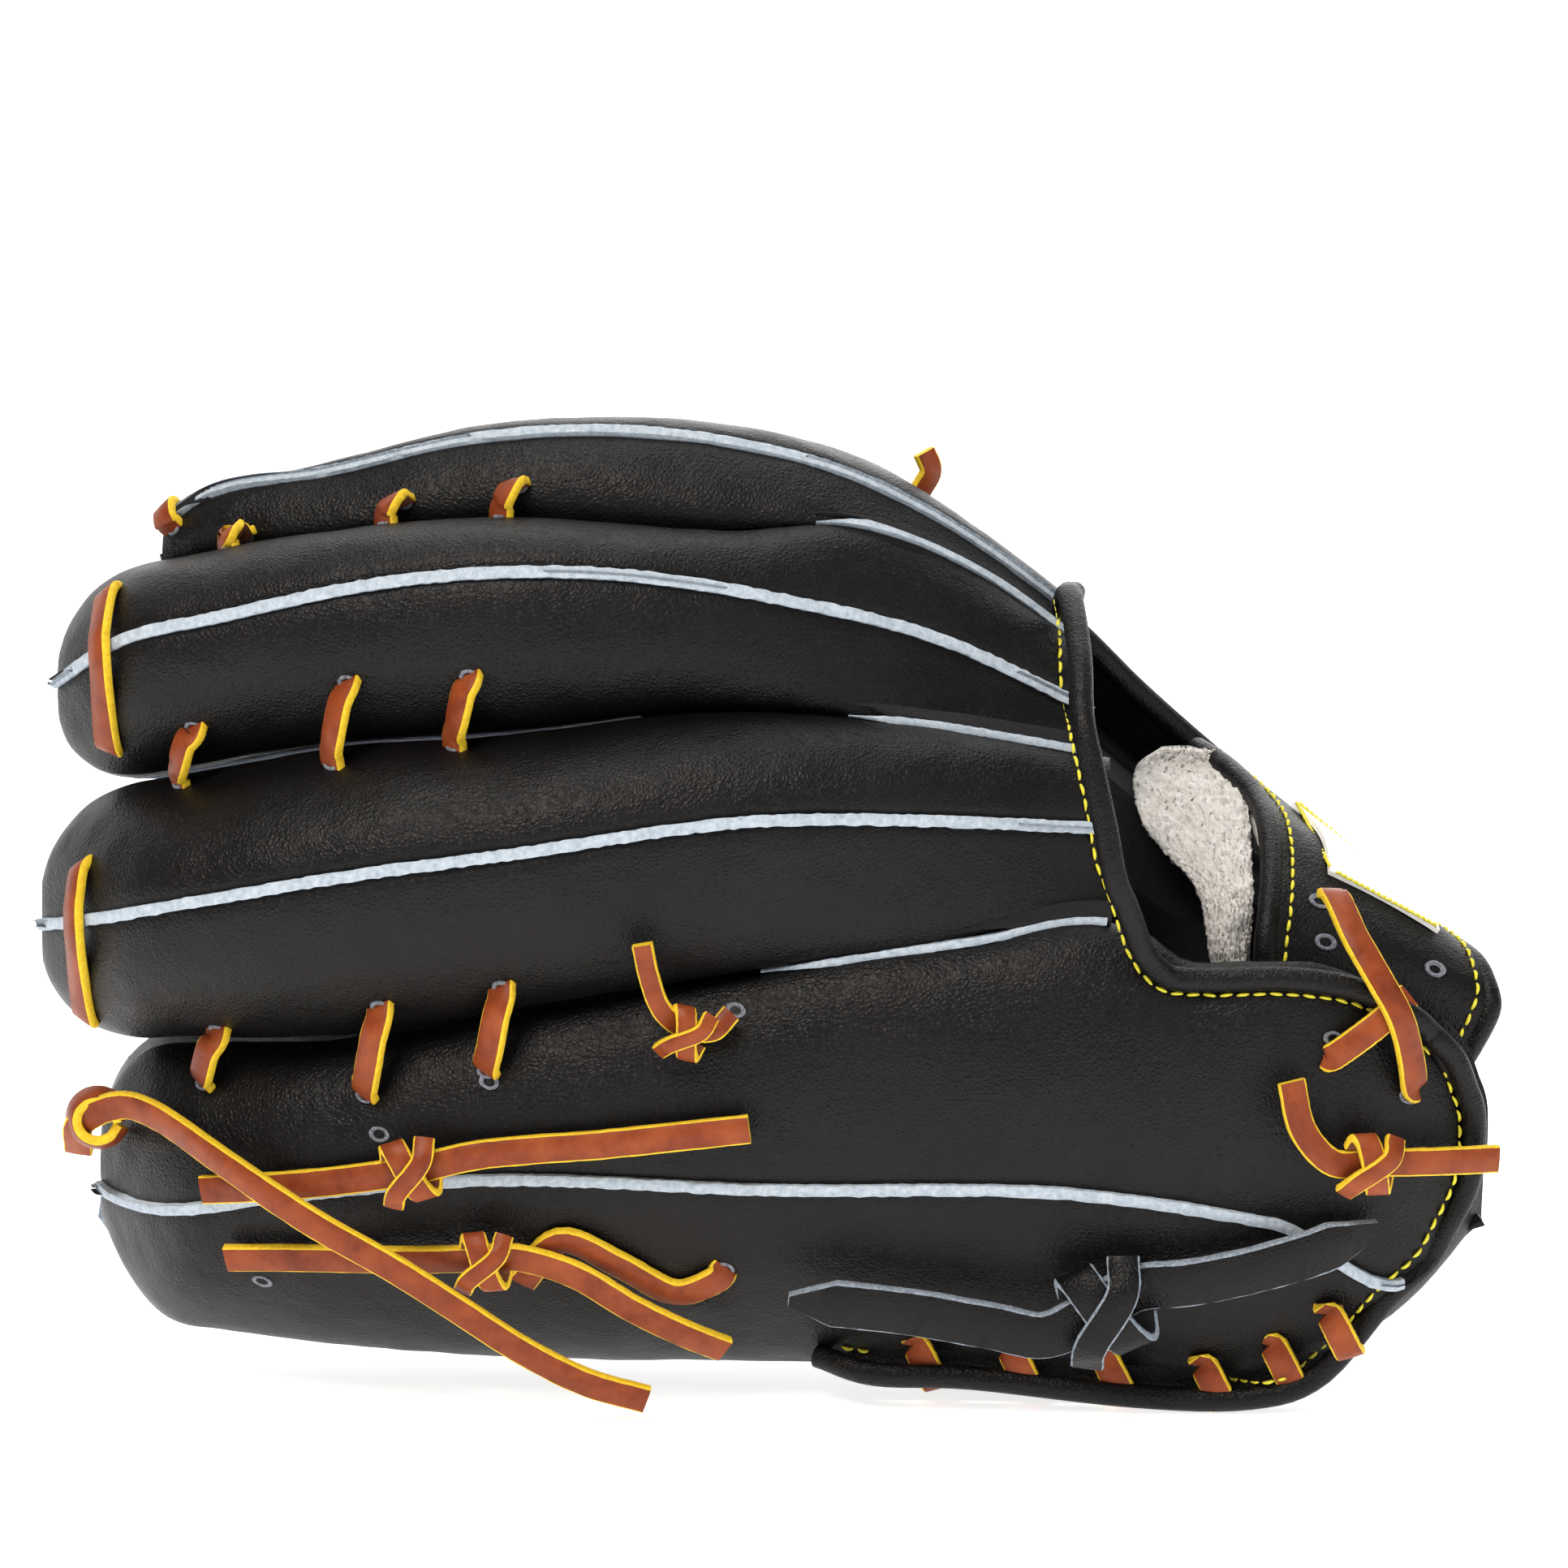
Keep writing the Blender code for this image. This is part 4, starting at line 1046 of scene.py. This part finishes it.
def crease_laces():
    """The short laces that tie neighbouring fingers together."""
    pairs = (("pinky_ring", "pinky", "ring", (-121.0, -85.0, -58.5), ((0.36, 0.30), (0.5, 0.4), (0.46, 0.4))),
             ("ring_middle", "ring", "middle", (-126.0, -92.0, -65.5), ((0.22, 0.4), (0.3, 0.52), (0.22, 0.5))),
             ("middle_index", "middle", "index", (-116.0, -81.0, -55.7), ((0.2, 0.25), (0.2, 0.4), (0.2, 0.45))))
    for name, low, high, places, reach in pairs:
        for k, (x, (t_low, t_high)) in enumerate(zip(places, reach)):
            a, na = surface(low, x - 2.0, True, t_low, 0.3)
            b, nb = surface(high, x + 1.5, False, t_high, 0.3)
            mid_out = unit(na + nb)
            span = b - a
            points = [a - na * 1.6 + span * 0.02, a + na * 1.3 + span * 0.06, a + span * 0.3 + mid_out * 2.6,
                      a + span * 0.7 + mid_out * 2.6, b + nb * 1.3 - span * 0.06, b - nb * 1.6 - span * 0.02]
            outs = [unit(mid_out + unit(-span) * 0.9), unit(mid_out + unit(-span) * 0.5), mid_out, mid_out,
                    unit(mid_out + unit(span) * 0.5), unit(mid_out + unit(span) * 0.9)]
            outs = [unit(o + np.array((-0.62, 0, 0))) for o in outs]
            lace(f"lace_{name}_{k + 1}_strip", points, outs, replaces=(f"lace_{name}_{k + 1}",), count=26)
            ring(f"hole_{name}_{k + 1}_low", a, na)
            ring(f"hole_{name}_{k + 1}_high", b, nb)


def tip_laces():
    """The lace bar over each fingertip."""
    for finger, x, t_low, t_high in (("index", -131.0, 0.75, 0.7), ("middle", -143.5, 0.35, 0.62),
                                     ("ring", -149.0, 0.35, 0.7), ("thumb", -112.0, 0.4, 0.5)):
        points, outs = [], []
        for upper, t, lift in ((False, t_low, -1.2), (False, t_low + 0.06, 1.3), (False, 0.85, 2.2),
                               (True, 0.97, 2.6), (True, 0.85, 2.2), (True, t_high, 1.3), (True, t_high - 0.06, -1.2)):
            p, n = surface(finger, x, upper, t, lift)
            points.append(p)
            outs.append(n)
        body = body_of(finger)
        lace(f"{finger}_tip_lace_strip", points, outs, body, replaces=(f"{finger}_tip_lace",), count=34)
        for end, upper, t in (("low", False, t_low), ("high", True, t_high)):
            p, n = surface(finger, x, upper, t, 0.2)
            ring(f"{finger}_tip_hole_{end}", p, n, body)


def knots():
    """Each knot is a band wrapped round the lace, with the loop's end crossing over it."""
    for name, centre, along, size in (("pinky_tie_upper", (-77, -37.0, 58), (0.93, -0.1, 0.3), 1.0),
                                      ("pinky_tie_lower", (-61, -33.5, 37), (0.95, -0.1, 0.1), 0.92),
                                      ("crease_tie", (-17, -40.5, 89), (0.9, 0.0, -0.2), 0.8),
                                      ("wrist_tie", (131, -40.0, 60), (0.97, 0.2, 0.0), 0.95),
                                      ("pinky_strap_tie", (74, -36.0, 27), (0.9, -0.1, 0.42), 1.55)):
        black = name == "pinky_strap_tie"
        along = unit(along)
        out = unit(np.array((0.0, -1.0, -0.1)))
        out = unit(out - along * np.dot(out, along))
        side = np.cross(along, out)
        centre = np.array(centre, dtype=float)
        points, outs = [], []
        for k in range(9):
            a = math.radians(-150 + 300 * k / 8)
            way = out * math.cos(a) * 3.0 + side * math.sin(a) * 6.2
            points.append(centre + way * size + along * (k - 4) * 0.8 * size)
            outs.append(unit(out * math.cos(a) / 3.0 + side * math.sin(a) / 6.2))
        lace(f"{name}_wrap", points, outs, width=5.6 * size, thick=2.0, count=40, black=black)
        cross = [centre + side * 6.5 * size - along * 6.0 * size - out * 0.5,
                 centre + side * 3.0 * size - along * 3.6 * size + out * 3.4 * size,
                 centre - side * 2.0 * size + along * 3.4 * size + out * 3.8 * size,
                 centre - side * 6.0 * size + along * 5.4 * size + out * 0.2]
        lace(f"{name}_cross", cross, [out, out, out, out], width=4.6 * size, thick=2.0, count=24, black=black)


def pinky_extras():
    """The loop at the little finger's tip, and the short lace that runs into a hole."""
    centre = np.array((-147.0, 3.0, 61.0))
    points, outs = [], []
    for k in range(10):
        a = 2 * math.pi * k / 9.5
        way = np.array((math.cos(a), 0.0, math.sin(a)))
        points.append(centre + way * (5.4, 0, 5.4) + np.array((0, -1.0 + 0.25 * k, 0)))
        outs.append(unit(way + np.array((0, -0.4, 0))))
    lace("pinky_tip_loop", points, outs, width=5.6, count=44)
    points = []
    for x, v in ((-53.0, 0.74), (-44.5, 0.86), (-32.0, 0.8), (-20.0, 0.72), (-11.0, 0.76)):
        p, n = surface("pinky", x, False, v, 1.7)
        points.append(p)
    p, n = surface("pinky", -9.0, False, 0.78, -0.6)
    points.append(p)
    lace("pinky_side_lace", points, n, count=36)
    for k, (x, upper, t) in enumerate(((-9.0, False, 0.78), (-84.0, True, 0.72), (-60.0, True, 0.52),
                                       (-110.5, False, 0.72), (123.0, True, 0.42), (139.5, True, 0.5),
                                       (-6.5, True, 0.3))):
        p, n = surface("pinky", x, upper, t, 0.2)
        ring(f"pinky_hole_{k + 1}", p, n)


def strap_laces():
    """The two laces that cross between the strap and the little finger."""
    for name, points in (("strap_lace_low", [(121.5, -33.5, 82), (123.5, -36.5, 83.5), (129.5, -36.8, 88),
                                             (135, -34.5, 92), (139, -30, 95)]),
                         ("strap_lace_high", [(140.5, -28, 74), (140.5, -32.5, 76), (139.5, -35, 83),
                                              (137, -37.5, 92), (132, -36, 101), (127.5, -32, 108.5),
                                              (124, -25, 115.5), (122.5, -20.5, 116)])):
        lace(name + "_strip", points, (0.3, -0.9, 0.3), replaces=(name,), count=40, width=6.0)


def small_details():
    """A short inner welt by the first finger's knuckle, and the web lace seen over the glove's top."""
    path, outs = [], []
    for t in np.linspace(0.0, 1.0, 16):
        p, n = surface("index", 26.0 + 38.0 * t, False, 0.3 + 0.2 * t, 0.3)
        path.append(p)
        outs.append(n)
    sweep("index_side_welt", path, outs, [(-0.8, -1.0), (0.8, -1.0), (0.9, 0.5), (0.0, 0.8), (-0.9, 0.5)], (WELT,),
          "finger_side", ragged=0.12)
    path, outs = [], []
    for x, lift in ((-69.0, -1.5), (-63.0, 1.2), (-55.0, 2.0), (-47.0, 1.2), (-41.0, -1.5)):
        p, n = surface("index", x, True, 0.12, lift)
        path.append(p)
        outs.append(n)
    lace("web_lace_top", path, outs, count=30)
    root, _ = surface("index", 33.0, True, 0.1, -1.5)
    steps = ((0.0, 0.0, 0.0), (1.5, 0.0, 5.0), (4.0, -0.5, 10.0), (2.5, -1.0, 14.5))
    lace("web_lace_end", [root + step for step in steps], (0.5, -0.85, 0.0), width=5.0, count=20)


def heel_laces():
    """The laces that wrap the heel roll."""
    for k, (x, y, z) in enumerate(((36, -11, 7), (56.5, -14, 7), (77.3, -14, 4.8), (99, -16, 3.6), (114, -17, 8.5),
                                   (126, -24, 17))):
        points = [(x - 3.5, y + 1.5, z + 8.0), (x - 2.8, y - 2.6, z + 6.6), (x - 1.0, y - 4.2, z + 3.0),
                  (x + 1.2, y - 2.8, z - 1.5), (x + 2.0, y + 2.5, z - 2.8)]
        lace(f"heel_lace_{k + 1}_strip", points, (0.1, -0.85, -0.5), replaces=(f"heel_lace_{k + 1}",), count=24)


def heel_edge():
    """The heel's padded roll keeps its plain shape and gets the leather's surface."""
    for place in bpy.data.objects["heel_roll"].material_slots:
        place.material = LEATHER


def main():
    studio()
    for name, (points, out, width) in TIES.items():
        free_lace(name, points, out, width)
    fingers()
    crease_welts()
    palms()
    crotch()
    web()
    felts()
    strap()
    bindings()
    seam_stitching()
    crease_laces()
    tip_laces()
    knots()
    pinky_extras()
    strap_laces()
    heel_laces()
    heel_edge()
    small_details()


main()
